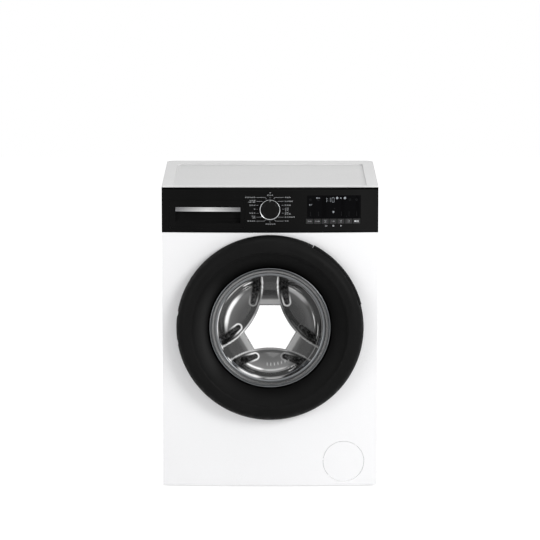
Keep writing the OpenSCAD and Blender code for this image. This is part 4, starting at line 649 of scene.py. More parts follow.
def disc(x, z, radius, sides=24, inner=0.0, turn=0):
    """A printed dot, ring or polygon, drawn flat in x and y."""
    if inner:
        made = primitive("torus", "ring", major_segments=sides, minor_segments=4,
                         major_radius=(radius + inner) / 2, minor_radius=(radius - inner) / 2,
                         scale=(1, 1, PRINT_THICK / (radius - inner)))
    else:
        made = primitive("cylinder", "dot", vertices=sides, radius=radius, depth=PRINT_THICK)
    made.data.transform(at(x, z, 0) @ turned(turn, "Z"))
    return made


def drawn(strokes=(), discs=()):
    """The marks of a table of strokes and one of discs."""
    return [stroke(*each) for each in strokes] + [disc(*each) for each in discs]


def printed(name, marks, ink, body="cabinet", lift=PRINT_LIFT):
    """Lays flat marks, drawn in x and y, on the bowed front: y becomes height and z stands off it."""
    piece = joined(name, marks)
    for vertex in piece.data.vertices:
        x, up, off = vertex.co
        vertex.co = (x, bow_y(x) - lift - off, up)
    return put(piece, body, ink)


def screw_head(name, radius, high):
    """A pan head with a cross recess, its seat on the origin and its axis along +y."""
    # (share of the radius, share of the height)
    outline = ((0, 0), (1, 0), (1, 0.25), (0.92, 0.6), (0.7, 0.88), (0.35, 1), (0, 1))
    head = spun(name, [(radius * out, high * up) for out, up in outline], (0, 0, 0), steps=28)
    arm, half, floor, over = radius * 0.55, radius * 0.12, high * 0.45, high + 0.001
    # the second arm is cut a little deeper, so that the two floors don't lie in one plane
    for wide, tall, bottom in ((arm, half, floor), (half, arm, floor - 0.00004)):
        cutter = block((-wide, bottom, -tall), (wide, over, tall))
        modified(head, "BOOLEAN", object=cutter, solver="EXACT")
        bpy.data.objects.remove(cutter)
    return smooth(head, 40)


def hose_clamp(name, radius, centre, axis=(0, 0, 1), wide=0.009):
    """A worm-drive band with its screw housing, round an axis."""
    half, thick, edge = wide / 2, 0.0011, 0.0008
    axis = Vector(axis)
    band = spun("band", [(radius, -half), (radius + edge, -half), (radius + thick, edge - half),
                         (radius + thick, half - edge), (radius + edge, half), (radius, half)], centre,
                axis=axis, steps=72)
    out = Vector((1, 0, 0)) if abs(axis.x) < 0.5 else Vector((0, 0, 1))
    side = axis.cross(out)
    middle = Vector(centre) + out * (radius + 0.0038)
    # half sizes of the screw's housing: outwards, across and along the hose
    reach = Vector([abs(part) for part in out * 0.0030 + side * 0.0065 + axis * 0.0052])
    worm = block(middle - reach, middle + reach, 0.0012, 3)
    screw = spun("screw", [(0, 0), (0.0034, 0), (0.0034, 0.0030), (0.0026, 0.0042), (0, 0.0042)],
                 middle + side * 0.0064, axis=side, steps=6)
    return smooth(joined(name, [band, worm, screw]))


def smallest(values, fillet):
    """Smallest of the values, with the corners between them rounded over the fillet."""
    low = values[0]
    for value in values[1:]:
        share = max(0.0, min(1.0, 0.5 + 0.5 * (value - low) / fillet))
        low = value + (low - value) * share - fillet * share * (1 - share)
    return low


def ramp(value, start, end):
    """0 to 1 between start and end, with soft ends."""
    share = max(0.0, min(1.0, (value - start) / (end - start)))
    return share * share * (3 - 2 * share)


def seen_along(x, z, degrees):
    """A place as its distance along a direction and aside from it."""
    c, s = math.cos(math.radians(degrees)), math.sin(math.radians(degrees))
    return x * c + z * s, z * c - x * s


# ================= pieces =================
class WASHER_OT_stage(bpy.types.Operator):
    """Add the floor, the studio light and the camera"""
    bl_idname = "washer.stage"
    bl_label = "Stage, Light and Camera"

    FLOOR = 14
    # name, place, aimed at, width, height, watts
    LAMPS = (("key_right", (3.1, -3.4, 2.4), (0, -0.2, 0.45), 1.8, 1.8, 119),
             ("fill_left", (-2.6, -3.0, 1.2), (0, -0.2, 0.45), 1.6, 2.0, 30),
             ("top_soft", (0.2, -0.2, 3.6), (0, 0, 0.8), 2.2, 2.2, 26))
    CAMERA, TILT, LENS = (0, -9.6745, 2.129), 80.87, 230.6

    def add_floor(self):
        """Matt pale paint that keeps the shadow, lifted to white only where the camera looks."""
        floor = primitive("plane", "studio_floor", size=self.FLOOR)
        material, shader, add, where = start_material("pale_floor_paint", Roughness=0.9,
                                                      Specular_IOR_Level=0.1)
        patch = add("TexNoise", {"Vector": where, "Scale": 1000 / 700, "Detail": 2.0})
        add("ValToRGB", {"Fac": patch}, ramp=((0, "#F4F4F4"), (1, "#F8F8F8")), to="Base Color")
        lift = add("Math", {0: add("LightPath", output="Is Camera Ray"), 1: 0.72}, operation="MULTIPLY")
        glow = add("Emission", {"Color": (1, 1, 1, 1), "Strength": lift})
        both = add("AddShader", {0: shader.outputs[0], 1: glow})
        tree = material.node_tree
        tree.links.new(both, tree.nodes["Material Output"].inputs["Surface"])
        floor.data.materials.append(material)

    def add_world(self, scene):
        """White where it is seen, reflected or refracted, and dimmer as a light."""
        scene.world = bpy.data.worlds.new("White studio")
        scene.world.use_nodes = True
        tree = scene.world.node_tree
        tree.nodes.clear()
        path = add_node(tree, "LightPath").node.outputs
        white = path["Is Camera Ray"]
        for ray in ("Is Transmission Ray", "Is Glossy Ray"):
            white = add_node(tree, "Math", {0: white, 1: path[ray]}, operation="MAXIMUM")
        power = add_node(tree, "MapRange", {"Value": white, "To Min": 0.40, "To Max": 1.0})
        sky = add_node(tree, "Background", {"Color": (1, 1, 1, 1), "Strength": power})
        add_node(tree, "OutputWorld", {"Surface": sky})

    def execute(self, context):
        scene = context.scene
        self.add_floor()
        self.add_world(scene)
        for name, place, aim, wide, high, power in self.LAMPS:
            lamp = bpy.data.objects.new(name, bpy.data.lights.new(name, "AREA"))
            lamp.data.shape = "RECTANGLE"
            lamp.data.size = wide
            lamp.data.size_y = high
            lamp.data.energy = power
            lamp.location = place
            lamp.rotation_euler = (Vector(aim) - Vector(place)).to_track_quat("-Z", "Y").to_euler()
            scene.collection.objects.link(lamp)

        camera = bpy.data.objects.new("front_camera", bpy.data.cameras.new("front_camera"))
        camera.data.lens = self.LENS
        camera.data.sensor_width = 36.0
        camera.data.clip_end = 60.0
        camera.location = self.CAMERA
        camera.rotation_euler = (math.radians(self.TILT), 0, 0)
        scene.collection.objects.link(camera)
        scene.camera = camera
        scene.view_settings.view_transform = "Standard"
        return {"FINISHED"}


class WASHER_OT_finishes(bpy.types.Operator):
    """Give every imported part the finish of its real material"""
    bl_idname = "washer.finishes"
    bl_label = "Finishes of the Packed Parts"

    def execute(self, context):
        grained = grained_moulding
        door_middle = (0.0, DOOR_Z)
        body = colours().body
        by_slot = {
            # powder enamel on steel: a faint orange peel about 3 mm across breaks up the sheen
            "body_enamel": finish("baked_white_enamel", tinted(body, 0.985), body, 3.2, (0.26, 0.34), 0.012,
                                  patch_mm=260, Specular_IOR_Level=0.4),
            # precoated back sheet: duller than the enamel, with a fine leather-like roll pattern
            "rear_sheet": finish("precoated_back_sheet", "#DCDEDF", "#E4E6E7", 1.1, (0.46, 0.58), 0.02,
                                 patch_mm=200),
            # polystyrene rim: white with a fine spark-eroded grain
            "worktop_rim": grained("grained_white_polystyrene", "#D8D8D8", "#E0E0E0", 0.8, (0.4, 0.52),
                                   0.02),
            "worktop_board": melamine_board(),
            # talc-filled polypropylene: waxy mid grey
            "base_moulding": grained("filled_polypropylene_grey", "#6B6E72", "#787B80", 1.4, (0.5, 0.66),
                                     0.05),
            "galvanised_steel": galvanised_sheet(),
            # drawn spring wire, zinc-plated: bluish sheen with die lines
            "spring_steel": drawn_metal("zinc_plated_spring_wire", "#8F949B", "#B4B9BF", (1, 1, 0.4)),
            # zinc-plated, passivated fasteners: slightly yellow-blue
            "zinc_fasteners": raw_casting("passivated_zinc", "#A9ABA6", "#C6C9C8", (0.26, 0.42), 1.0, 0.8,
                                          0.01),
            "fascia_gloss": fascia_moulding(),
            "display_panel": smoked_panel(),
            "circuit_board": solder_mask(),
            # polypropylene drawer: off-white and slightly translucent
            "drawer_moulding": grained("white_polypropylene", "#DADDE0", "#E6E8EA", 1.2, (0.32, 0.44), 0.02,
                                       Subsurface_Weight=0.15, Subsurface_Radius=(0.004, 0.004, 0.004)),
            "satin_silver": grip_foil(),
            "bright_trim": turned_metal("satin_silver_trim", "#626466", "#8C8E90", door_middle, (0.24, 0.4),
                                        1.6),
            "dial_gloss": dial_moulding(),
            # matt keys: charcoal with a fine grain
            "key_plastic": grained("charcoal_key_abs", "#1F1F20", "#272728", 0.6, (0.42, 0.55), 0.01,
                                   Specular_IOR_Level=0.3),
            "door_gloss": door_moulding(),
            # grey polypropylene door back: fine grain with a silky sheen
            "door_frame_grey": grained("grey_door_polypropylene", "#AEB1B4", "#BCBFC2", 1.0, (0.42, 0.55)),
            "bowl_glass": pressed_glass(),
            "hinge_casting": raw_casting("die_cast_aluminium", "#9FA2A5", "#B9BCBE", (0.36, 0.5)),
            "steel_parts": drawn_metal("bright_turned_steel", "#A4A8AC", "#CDD0D3", (1, 1, 0.2),
                                       (0.2, 0.34)),
            "lock_moulding": grained("white_polyamide", "#DCDBD4", "#E8E7E1", 1.0, (0.4, 0.55), 0.02),
            "valve_moulding": grained("white_polyamide_valve", "#D9D8D2", "#E6E5E0", 1.0, (0.4, 0.55),
                                      0.02),
            "pump_moulding": grained("grey_polypropylene_pump", "#BFBFBB", "#CDCDC9", 1.2, (0.42, 0.56)),
            "dark_moulding": grained("charcoal_polypropylene", "#242426", "#303033", 1.2, (0.46, 0.6)),
            "gasket_rubber": soft_rubber("grey_epdm_gasket", "#62656A", "#72757A"),
            "black_rubber": soft_rubber("black_epdm", "#161616", "#232323"),
            "drain_hose_grey": soft_rubber("grey_corrugated_hose", "#6C6E70", "#7D7F82", (0.4, 0.55)),
            # glass-filled polypropylene tub: streaks where the fibres flowed
            "tub_moulding": finish("glass_filled_polypropylene", "#AEB2B7", "#C3C7CB", 2.2, (0.5, 0.68),
                                   0.06,
                                   patch_mm=60, stretch=(1, 0.3, 1), detail=4.0),
            # grey iron under dip paint: sandy skin
            "counterweight_iron": raw_casting("painted_grey_iron", "#35363A", "#4A4B4F", (0.55, 0.75), 0.3,
                                              3.0, 0.3),
            "motor_casting": raw_casting("die_cast_motor_case", "#7C7F83", "#94979B"),
            # ferritic stainless sheet: cold-rolled sheen with faint lengthways rolling lines
            "drum_steel": drawn_metal("rolled_stainless", "#B9BBBD", "#D3D5D6", (1, 0.05, 1), (0.18, 0.3),
                                      1.6),
            "lifter_moulding": grained("light_grey_polypropylene", "#C3C6C9", "#D2D5D7", 1.0, (0.36, 0.48),
                                       0.02),
            "spider_casting": raw_casting("sand_cast_aluminium", "#85888B", "#A3A6A8", (0.5, 0.7), 0.8, 2.4,
                                          0.15),
            "pulley_casting": turned_metal("turned_pulley_aluminium", "#9A9DA0", "#BFC2C4", door_middle),
        }
        own = {
            "dial_ring": turned_metal("turned_silver_ring", "#8A8C8E", "#C6C7C8", (0.0, DIAL_Z),
                                      (0.2, 0.32), 0.5),
            "heater": drawn_metal("heater_sheath_incoloy", "#7F8388", "#A8ACB0", (1, 0.1, 1), (0.3, 0.45)),
        }
        slots = {row["node"]: row["material_slot"] for row in frame["record"]["subparts"]}
        for node, piece in NODES.items():
            for each in piece.material_slots:
                each.material = own.get(node) or by_slot[slots[node]]
        return {"FINISHED"}


class WASHER_OT_bowl(bpy.types.Operator):
    """Model the pressed glass bowl with its three-armed nose, its scoops and its six pockets"""
    bl_idname = "washer.bowl"
    bl_label = "Glass Bowl"

    LEAN = 0.178                      # drop of the bowl for each unit it goes back
    NOSE_DROP = 0.0028                # nose's middle below the bowl's
    NOSE_EDGE = 0.0665                # straight edges of the nose
    NOSE_WAIST = 0.0532               # middles of its scooped edges
    RIM_R = 0.150
    SCOOP_R = 0.193
    SCOOP_BACK = 0.225
    ARM_END = 0.006                   # depth left of the arms at the rim
    SIDE_SLOPE, CONE_SLOPE, COLLAR_SLOPE = 3.0, 2.0, 6.0
    CONE_END = 0.004                  # depth of the cone at the rim
    STEP = (0.0045, 0.124, 0.005)     # moulded step of each scoop: height, radius, half width
    PETAL = (0.004, 0.012)            # a scoop's own marks begin this far inside it
    # pockets beside the arms: inner and outer end as (along the arm, aside, radius), and their depth
    POCKET = ((0.0745, 0.0472, 0.0078), (0.1330, 0.0352, 0.0122), 0.009)
    # direction of each arm, and the painted highlight on the rounded end of its right and left pocket
    ARMS = ((90, (0.62, 0.26)), (210, (0.9, 0.95)), (330, (0.2, 0.05)))
    # direction of each scoop, and the painted highlight along its edge at one end, in the middle and at the
    # other
    SCOOPS = ((30, (1.0, 0.16, 0.42)), (150, (1.0, 0.6, 1.0)), (270, (0.32, 0.24, 0.8)))
    # arcs of painted highlight along the moulded steps: radius, half width, middle and half span in
    # degrees, strength
    PAINTED_ARCS = ((0.1215, 0.0082, 157, 34, 1.0), (0.1420, 0.0024, 132, 22, 0.6), (0.1462, 0.0028, 172, 30, 1.0),
            (0.1375, 0.0028, 117, 8, 1.0), (0.1245, 0.0016, 10, 13, 0.95), (0.1330, 0.0016, 356, 12, 0.9),
            (0.1215, 0.0085, 52, 24, 0.38), (0.1250, 0.0028, 60, 8, 0.55), (0.1190, 0.0044, 248, 20, 1.0),
            (0.1195, 0.0034, 276, 24, 0.5), (0.1425, 0.0058, 246, 20, 1.0), (0.1430, 0.0028, 274, 16, 0.5),
            (0.1440, 0.0014, 20, 60, 0.35), (0.1435, 0.0024, 200, 7, 1.0), (0.1435, 0.0024, 220, 6, 1.0),
            (0.1365, 0.0012, 330, 40, 0.3), (0.1395, 0.0012, 262, 50, 0.4))
    SCOOP_ARC_R = 0.130               # arcs inside this radius lie in the scoops only
    # thin shadows between the steps: radius, half width, middle and half span, strength
    SHADOWS = ((0.1485, 0.0014, 90, 181, 0.9), (0.1275, 0.0014, 268, 44, 0.85),
               (0.1365, 0.0014, 262, 46, 0.75),
               (0.1395, 0.0012, 0, 50, 0.7), (0.1330, 0.0012, 175, 30, 0.6), (0.1320, 0.0012, 268, 40, 0.7))
    # painted highlight stripes at the foot of the lowest scoop: first and last direction, radius, radians
    # by the metre
    RIBS = (262, 300, 0.103, 640)
    TIP_R = 0.0004                    # innermost row of the bowl's grid
    # painted light laid on the mesh: the white nose, the shaded pockets, the painted highlights and the
    # painted tone
    MARKS = ("nose", "pocket", "edge", "tone")

    def pocket_gap(self, along, aside):
        """Distance to the edge of the pocket beside an arm, negative inside it."""
        (s0, a0, r0), (s1, a1, r1), _ = self.POCKET
        share = ((along - s0) * (s1 - s0) + (aside - a0) * (a1 - a0)) / ((s1 - s0) ** 2 + (a1 - a0) ** 2)
        share = max(0.0, min(1.0, share))
        return (math.hypot(along - s0 - share * (s1 - s0), aside - a0 - share * (a1 - a0))
                - r0 - (r1 - r0) * share)

    def arc_share(self, arc, away, turn):
        """How strongly one arc or shadow shows at a place."""
        radius, half, middle, span, strength = arc
        off = abs((turn - middle + 180) % 360 - 180)
        taper = 1.0 if span > 180 else ramp(off, span, span * 0.35)
        return ramp(abs(away - radius), half * (0.35 + 0.65 * taper), half * 0.25) * taper * strength

    def near_arms(self, x, z):
        """How far past the nose's straight edges, gap to the nearest pocket, and painted highlight on its
        end.
        """
        ahead, pocket, lit = -1.0, 1.0, 0.0
        for degrees, lights in self.ARMS:
            along, aside = seen_along(x, z, degrees)
            ahead = max(ahead, along - self.NOSE_EDGE)
            if along > 0 and self.pocket_gap(along, abs(aside)) < pocket:
                pocket = self.pocket_gap(along, abs(aside))
                lit = lights[aside > 0] * ramp(along, 0.104, 0.078)
        return ahead, pocket, lit

    def near_scoops(self, x, z, full):
        """How far inside the nearest scoop, the scoops' depth, and the painted highlight along that scoop's
        edge.
        """
        inner, scoop, edge_glint = -1.0, 1.0, 0.0
        ball = self.SCOOP_R ** 2 + self.SCOOP_BACK ** 2
        for degrees, (first, mid, last) in self.SCOOPS:
            along, across = seen_along(x, z, degrees)
            apart = math.hypot(along - self.NOSE_WAIST - self.SCOOP_R, across)
            scoop = min(scoop, full - (math.sqrt(max(0.0, ball - apart * apart)) - self.SCOOP_BACK)
                        if apart < self.SCOOP_R else full + (apart - self.SCOOP_R) * 0.9)
            if self.SCOOP_R - apart > inner:
                inner = self.SCOOP_R - apart
                edge_glint = mid + ((first if across > 0 else last) - mid) * ramp(abs(across), 0.015, 0.075)
        return inner, scoop, edge_glint

    def tone_at(self, x, z, away, inner, run):
        """Painted tone of the glass, in reflection and shade, before its painted highlights and shadows are
        laid on.
        """
        if inner < 0.001:
            # painted light: the step behind the nose's edge holds a painted pale band, then the arm is
            # painted dark
            tone = (0.075 + 0.47 * ramp(run, 0.25, 0.17) * ramp(run, 0.0, 0.05)
                    + 0.10 * ramp(run, 0.42, 0.22)
                    + 0.03 * ramp(run, 0.75, 0.95))
        else:
            # painted tone of the scoops: lighter towards the outside, at the bottom and on the left
            low = max(0.0, -z / 0.11) * ramp(abs(x), 0.11, 0.02)
            tone = 0.062 + 0.11 * ramp(away, 0.085, 0.122) + 0.16 * low + 0.05 * ramp(x, 0.0, -0.08)
        # painted tone of the flange, then of its outer edge, each painted paler on the left
        flange = 0.035 + 0.06 * ramp(x, -0.04, -0.12) * ramp(z, -0.04, 0.04)
        tone += (flange - tone) * ramp(away, 0.125, 0.131)
        return tone + (0.12 + 0.08 * ramp(x, 0.05, -0.14) - tone) * ramp(away, 0.147, 0.151)

    def depth_and_marks(self, x, z):
        """How far the glass lies behind its nose at a place, and its four marks of painted light."""
        full = GLASS_HIGH.y - GLASS_LOW.y - sizes().glass_wall
        away = math.hypot(x, z)
        turn = math.degrees(math.atan2(z, x)) % 360
        z += self.NOSE_DROP
        ahead, pocket, lit = self.near_arms(x, z)
        inner, scoop, edge_glint = self.near_scoops(x, z, full)
        star = max(ahead, inner)
        run = ahead / (self.RIM_R - self.CONE_END - self.NOSE_EDGE)
        petal = ramp(inner, *self.PETAL)

        # the arms climb from the nose to the rim, and their sides drop steeply into the scoops
        arm = (full - (full - self.ARM_END) * max(-1.0, min(1.2, run))
               + self.SIDE_SLOPE * max(0.0, inner - 0.001))
        cone = self.CONE_END + (self.RIM_R - away) * self.CONE_SLOPE
        shape = smallest([full, cone, arm, scoop], sizes().fillet)
        rise, step_r, step_half = self.STEP
        shape -= rise * petal * math.exp(-((away - step_r) / step_half) ** 2)
        shape += self.POCKET[2] * ramp(pocket, 0.0015, -0.004)
        collar = max(0.0, self.RIM_R - away) * self.COLLAR_SLOPE
        depth = min(smallest([shape, collar], 0.002), full)

        # painted highlights along the scoops' edges, on the pockets' ends, in the arcs and on the ribs
        side = abs(inner - 0.0035 + 0.0022 * ramp(ahead, -0.01, 0.03))
        edge_glint *= 1 - 0.6 * ramp(z, 0.025, 0.05) * ramp(z, 0.108, 0.088)
        edge = max(ramp(side, 0.0028, 0.0011) * edge_glint * ramp(away, 0.147, 0.143),
                   ramp(abs(pocket - 0.0016), 0.0034, 0.0010) * lit * ramp(away, 0.132, 0.118))
        in_scoop = petal * ramp(pocket, 0.0, 0.003)
        for arc in self.PAINTED_ARCS:
            edge = max(edge,
                       self.arc_share(arc, away, turn) * (1.0 if arc[0] > self.SCOOP_ARC_R else in_scoop))
        first, last, ribs_r, ribs = self.RIBS
        if first < turn < last:
            edge = max(edge, 0.5 * ramp(abs(away - ribs_r), 0.0065, 0.002)
                       * max(0.0, math.sin(x * ribs)) ** 4)

        # painted tone, with a painted dark line along the nose's edge, then the painted shadows
        tone = self.tone_at(x, z, away, inner, run) * (1 - 0.8 * ramp(abs(star - 0.0013), 0.0015, 0.0004))
        for arc in self.SHADOWS:
            tone *= 1 - self.arc_share(arc, away, turn)
        nose = ramp(star, 0.0006, -0.0008)
        return depth, nose, ramp(pocket, 0.0008, -0.0015), min(1.0, edge) * (1 - nose), min(1.0, tone)

    def execute(self, context):
        piece = primitive("grid", "glass_bowl", x_subdivisions=sizes().glass_sectors,
                          y_subdivisions=sizes().glass_rings, size=2)
        marks = {part: [] for part in self.MARKS}
        for vertex in piece.data.vertices:
            angle = (vertex.co.x + 1) * math.pi
            away = max(self.TIP_R, (vertex.co.y + 1) / 2 * GLASS_HIGH.x)
            x, z = away * math.cos(angle), away * math.sin(angle)
            depth, *found = self.depth_and_marks(x, z)
            vertex.co = (x, GLASS_LOW.y + depth, DOOR_Z + z - self.LEAN * depth)
            for part, value in zip(self.MARKS, found):
                marks[part].append(value)
        for part, values in marks.items():
            piece.data.attributes.new(part, "FLOAT", "POINT").data.foreach_set("value", values)
        edited(piece, ("remove_doubles", {"threshold": 0.00001}))
        smooth(thickened(piece, (0, sizes().glass_wall, 0)), 40)
        put(piece, "door", coat("door_glass"))
        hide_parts("door_glass")
        return {"FINISHED"}


class WASHER_OT_dial_marks(bpy.types.Operator):
    """Print generic numbers and their leader lines round the dial, and set the pointer in its ring"""
    bl_idname = "washer.dial_marks"
    bl_label = "Dial Numbers and Pointer"

    ROW_STEP, LINE_STEP = 0.01095, 0.0046           # between the rows, and between the two lines of one row
    NUMBER_X, LINE_X = 0.0404, 0.0374               # where the numbers and their leader lines begin
    LEFT = (("20 30 40 60 90",), ("30 40 60", "1000 1200"), ("20 30 40",), ("30",), ("40 60 90",),
            ("15 30", "1200"),
            ("20 40 60 90",))
    RIGHT = (("40 60 90",), ("20 30 40 60",), ("20 30 40",), ("12 14", "30 40"), ("30 60", "20 30 40"),
             ("20 30 40 60 90",), ("30 40",))
    LINE_END = (0.0130, 0.0240, 0.0318, 0.0340, 0.0318, 0.0240, 0.0148)
    RIDGES, RIDGE_HALF, RIDGE_HIGH = (0.0185, 0.0205), 0.0003, 0.00016

    def beside(self, side, place, lines, end):
        """One row of numbers beside the dial, with its leader line."""
        z = DIAL_Z + (3 - place) * self.ROW_STEP
        marks = rows(lines, sizes().digit_h, side * self.NUMBER_X, z, self.LINE_STEP,
                     "RIGHT" if side < 0 else "LEFT")
        marks.append(stroke(side * self.LINE_X, z, side * end, z))
        if abs(place - 3) > 1:
            # a short slant leads from the line to the ring
            near = Vector((side * end * 0.82, (z - DIAL_Z) * 0.93)).normalized() * (DIAL_R + 0.0016)
            marks.append(stroke(side * end, z, near.x, DIAL_Z + near.y))
        return marks

    def execute(self, context):
        high = sizes().digit_h
        ink = printing_ink(strength=0.72)
        marks = []
        for side, numbers in ((-1, self.LEFT), (1, self.RIGHT)):
            for place, (lines, end) in enumerate(zip(numbers, self.LINE_END)):
                marks += self.beside(side, place, lines, end)
        marks += rows(("14", "20 30 40"), high, 0, DIAL_Z + 0.0420, 0.0064)
        marks.append(figures("15 30 45 60 90", high, 0.0008, DIAL_Z - 0.0413))
        marks += [stroke(0, DIAL_Z + first, 0, DIAL_Z + last, 0.0007)
                  for first, last in ((0.0335, 0.0305), (-0.0368, -0.0338))]
        printed("dial_numbers", marks, ink)

        # pointer: a white line laid in the gap of the silver ring and on over the cap's shoulder
        top = DIAL_LOW.y
        line = block((-0.0006, top, DIAL_Z + DIAL_R - 0.0060),
                     (0.0006, top + 0.0030, DIAL_Z + DIAL_R - 0.0002),
                     0.0002, name="dial_pointer")
        put(line, "dial", ink)
        # turned ridges round the cap's face
        half, rise = self.RIDGE_HALF, self.RIDGE_HIGH
        face = [spun("ridge", [(r - half, 0.0), (r, rise), (r + half, 0.0), (r, -half)],
                     (0, top + 0.0004, DIAL_Z),
                     axis=(0, -1, 0)) for r in self.RIDGES]
        put(smooth(joined("dial_face_ridges", face), 32), "dial", coat("dial_knob"))
        return {"FINISHED"}


class WASHER_OT_display(bpy.types.Operator):
    """Light the display: seven-segment digits, three symbols, and the dark symbols that stay unlit"""
    bl_idname = "washer.display"
    bl_label = "Display Symbols"

    # segments of a digit as (x0, z0, x1, z1) in digit widths and heights
    SEGMENTS = {"a": (0, 1, 1, 1), "b": (1, 1, 1, 0.5), "c": (1, 0.5, 1, 0), "d": (0, 0, 1, 0),
                "e": (0, 0.5, 0, 0),
                "f": (0, 1, 0, 0.5)}
    SHOWN = {"0": "abcdef", "1": "bc"}
    DIGITS = (("1", 0.1500), ("1", 0.1600), ("0", 0.1705))      # each digit and its left edge
    DIGIT_Z, COLON_X = 0.8030, 0.1587
    DIGIT_WIDE, BAR_WIDE, BAR_GAP = 0.46, 0.0012, 0.0007  # share of the height, a segment's width, end gap
    # strokes as (x0, z0, x1, z1, width), discs as (x, z, radius, sides, inner radius):
    # a small key symbol, and the arrow beside the spin column
    KEY_STROKES = ((0.1285, 0.8150, 0.1375, 0.8150, 0.0016), (0.1368, 0.8150, 0.1368, 0.8134, 0.0010),
                   (0.1345, 0.8150, 0.1345, 0.8136, 0.0010), (0.1076, 0.7958, 0.1142, 0.7958, 0.0012),
                   (0.1076, 0.7958, 0.1100, 0.7982, 0.0010), (0.1076, 0.7958, 0.1100, 0.7934, 0.0010),
                   (0.1142, 0.7958, 0.1160, 0.7984, 0.0012))
    KEY_DISCS = ((0.1290, 0.8150, 0.0022, 20, 0.0012),)
    # a target, a diamond and a clock with its hands
    LIT_DISCS = ((0.1848, 0.8148, 0.0031, 28, 0.0017), (0.1848, 0.8148, 0.0011, 16),
                 (0.1950, 0.8148, 0.0020, 4),
                 (0.2062, 0.8146, 0.0031, 28, 0.0016))
    LIT_STROKES = ((0.2062, 0.8146, 0.2062, 0.8166, 0.0009), (0.2062, 0.8146, 0.2076, 0.8140, 0.0009))
    FLOWER = (0.1745, 0.7762, 0.0008, 0.0030)  # middle, and where its strokes begin and end
    # columns of four dashes, dark rings, and two single lines
    DASH_X, DASH_Z, DASH_STEP = (0.1108, 0.1330, 0.1958, 0.2168, 0.2380), 0.7660, 0.0032
    DARK_DISCS = tuple((x, 0.8100, 0.0028, 24, 0.0020) for x in (0.1108, 0.1330, 0.2200, 0.2380))
    DARK_STROKES = ((0.1765, 0.7845, 0.1790, 0.7870, 0.0010), (0.1040, 0.7608, 0.2470, 0.7608, 0.0004))

    def digit(self, value, x, z, high):
        """Strokes of one digit whose lower left corner is at x, z."""
        made = []
        for name in self.SHOWN[value]:
            x0, z0, x1, z1 = self.SEGMENTS[name]
            first = Vector((x + x0 * high * self.DIGIT_WIDE, z + z0 * high))
            last = Vector((x + x1 * high * self.DIGIT_WIDE, z + z1 * high))
            gap = (last - first).normalized() * self.BAR_GAP
            made.append(stroke(*(first + gap), *(last - gap), self.BAR_WIDE))
        return made

    def execute(self, context):
        high = sizes().display_digit
        glow = colours().display
        dim = printing_ink("lit_display_segments", tinted(glow, 0.4), 0.1)
        bright = printing_ink("lit_display_symbols", tinted(glow, 0.75), 0.06)
        unlit = printing_ink("unlit_display_symbols", "#1C1D1F")
        digits = [bar for value, x in self.DIGITS for bar in self.digit(value, x, self.DIGIT_Z, high)]
        digits += [disc(self.COLON_X, self.DIGIT_Z + high * share, 0.0008, 12) for share in (0.3, 0.7)]
        printed("display_digits", digits + drawn(self.KEY_STROKES, self.KEY_DISCS), dim, lift=0.00006)

        # a flower of six short strokes marks the chosen option
        x, z, near, far = self.FLOWER
        petals = []
        for number in range(6):
            c, s = math.cos(number * math.pi / 3), math.sin(number * math.pi / 3)
            petals.append((x + near * c, z + near * s, x + far * c, z + far * s, 0.0012))
        lit = drawn((*self.LIT_STROKES, *petals), (*self.LIT_DISCS, (x, z, 0.0014, 12)))
        printed("display_symbols", lit, bright, lift=0.00006)

        dashes = [(x, self.DASH_Z + self.DASH_STEP * step, x + 0.0014, self.DASH_Z + self.DASH_STEP * step,
                   0.0016)
                  for x in self.DASH_X for step in range(4)]
        printed("display_unlit_symbols", drawn((*dashes, *self.DARK_STROKES), self.DARK_DISCS), unlit,
                lift=0.00004)
        return {"FINISHED"}


class WASHER_OT_key_marks(bpy.types.Operator):
    """Print each key's generic mark and the symbols below the keys"""
    bl_idname = "washer.key_marks"
    bl_label = "Key Marks"

    MARKS = (("20-90",), ("0-1400",), ("+15", "+30"), ("1-24",), ("2 4", "6 8"), ("1 2", "3 4"))
    # start and pause, from the key's middle: a dot and two bars
    START_DISCS = ((-0.0038, 0, 0.0024, 20),)
    START_STROKES = ((0.0008, -0.0026, 0.0008, 0.0026, 0.0016), (0.0042, -0.0026, 0.0042, 0.0026, 0.0022))
    # small symbols below the keys, from their middle height: a tub outline, a flower and a triangle
    BELOW_Z = 0.7376
    BELOW_STROKES = ((0.1515, 0.0016, 0.1528, -0.0020, 0.0007), (0.1528, -0.0020, 0.1558, -0.0020, 0.0007),
                     (0.1558, -0.0020, 0.1571, 0.0016, 0.0007), (0.1530, 0.0020, 0.1543, 0.0006, 0.0007),
                     (0.1543, 0.0006, 0.1556, 0.0020, 0.0007))
    BELOW_DISCS = ((0.1745, 0, 0.0026, 24, 0.0017), (0.1745, 0, 0.0012, 12),
                   (0.1954, 0, 0.0029, 3, 0.0, -90))

    def execute(self, context):
        ink = printing_ink("key_printing_ink", strength=0.62)
        white = printing_ink("key_white_ink")
        for number in range(1, 8):
            low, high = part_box(f"key_{number}")
            middle = ((low.x + high.x) / 2, (low.z + high.z) / 2)
            if number < 7:
                lines = self.MARKS[number - 1]
                made = rows(lines, 0.0046 if len(lines) == 1 else 0.0040, *middle, 0.0042)
            else:
                made = drawn(self.START_STROKES, self.START_DISCS)
                for each in made:
                    each.data.transform(at(*middle, 0))
            printed(f"key_{number}_mark", made, white if number == 7 else ink, f"key_{number}",
                    bow_y(low.x) - low.y + PRINT_LIFT)
        below = drawn(self.BELOW_STROKES, self.BELOW_DISCS)
        for each in below:
            each.data.transform(at(0, self.BELOW_Z, 0))
        printed("symbols_below_keys", below, ink)
        return {"FINISHED"}


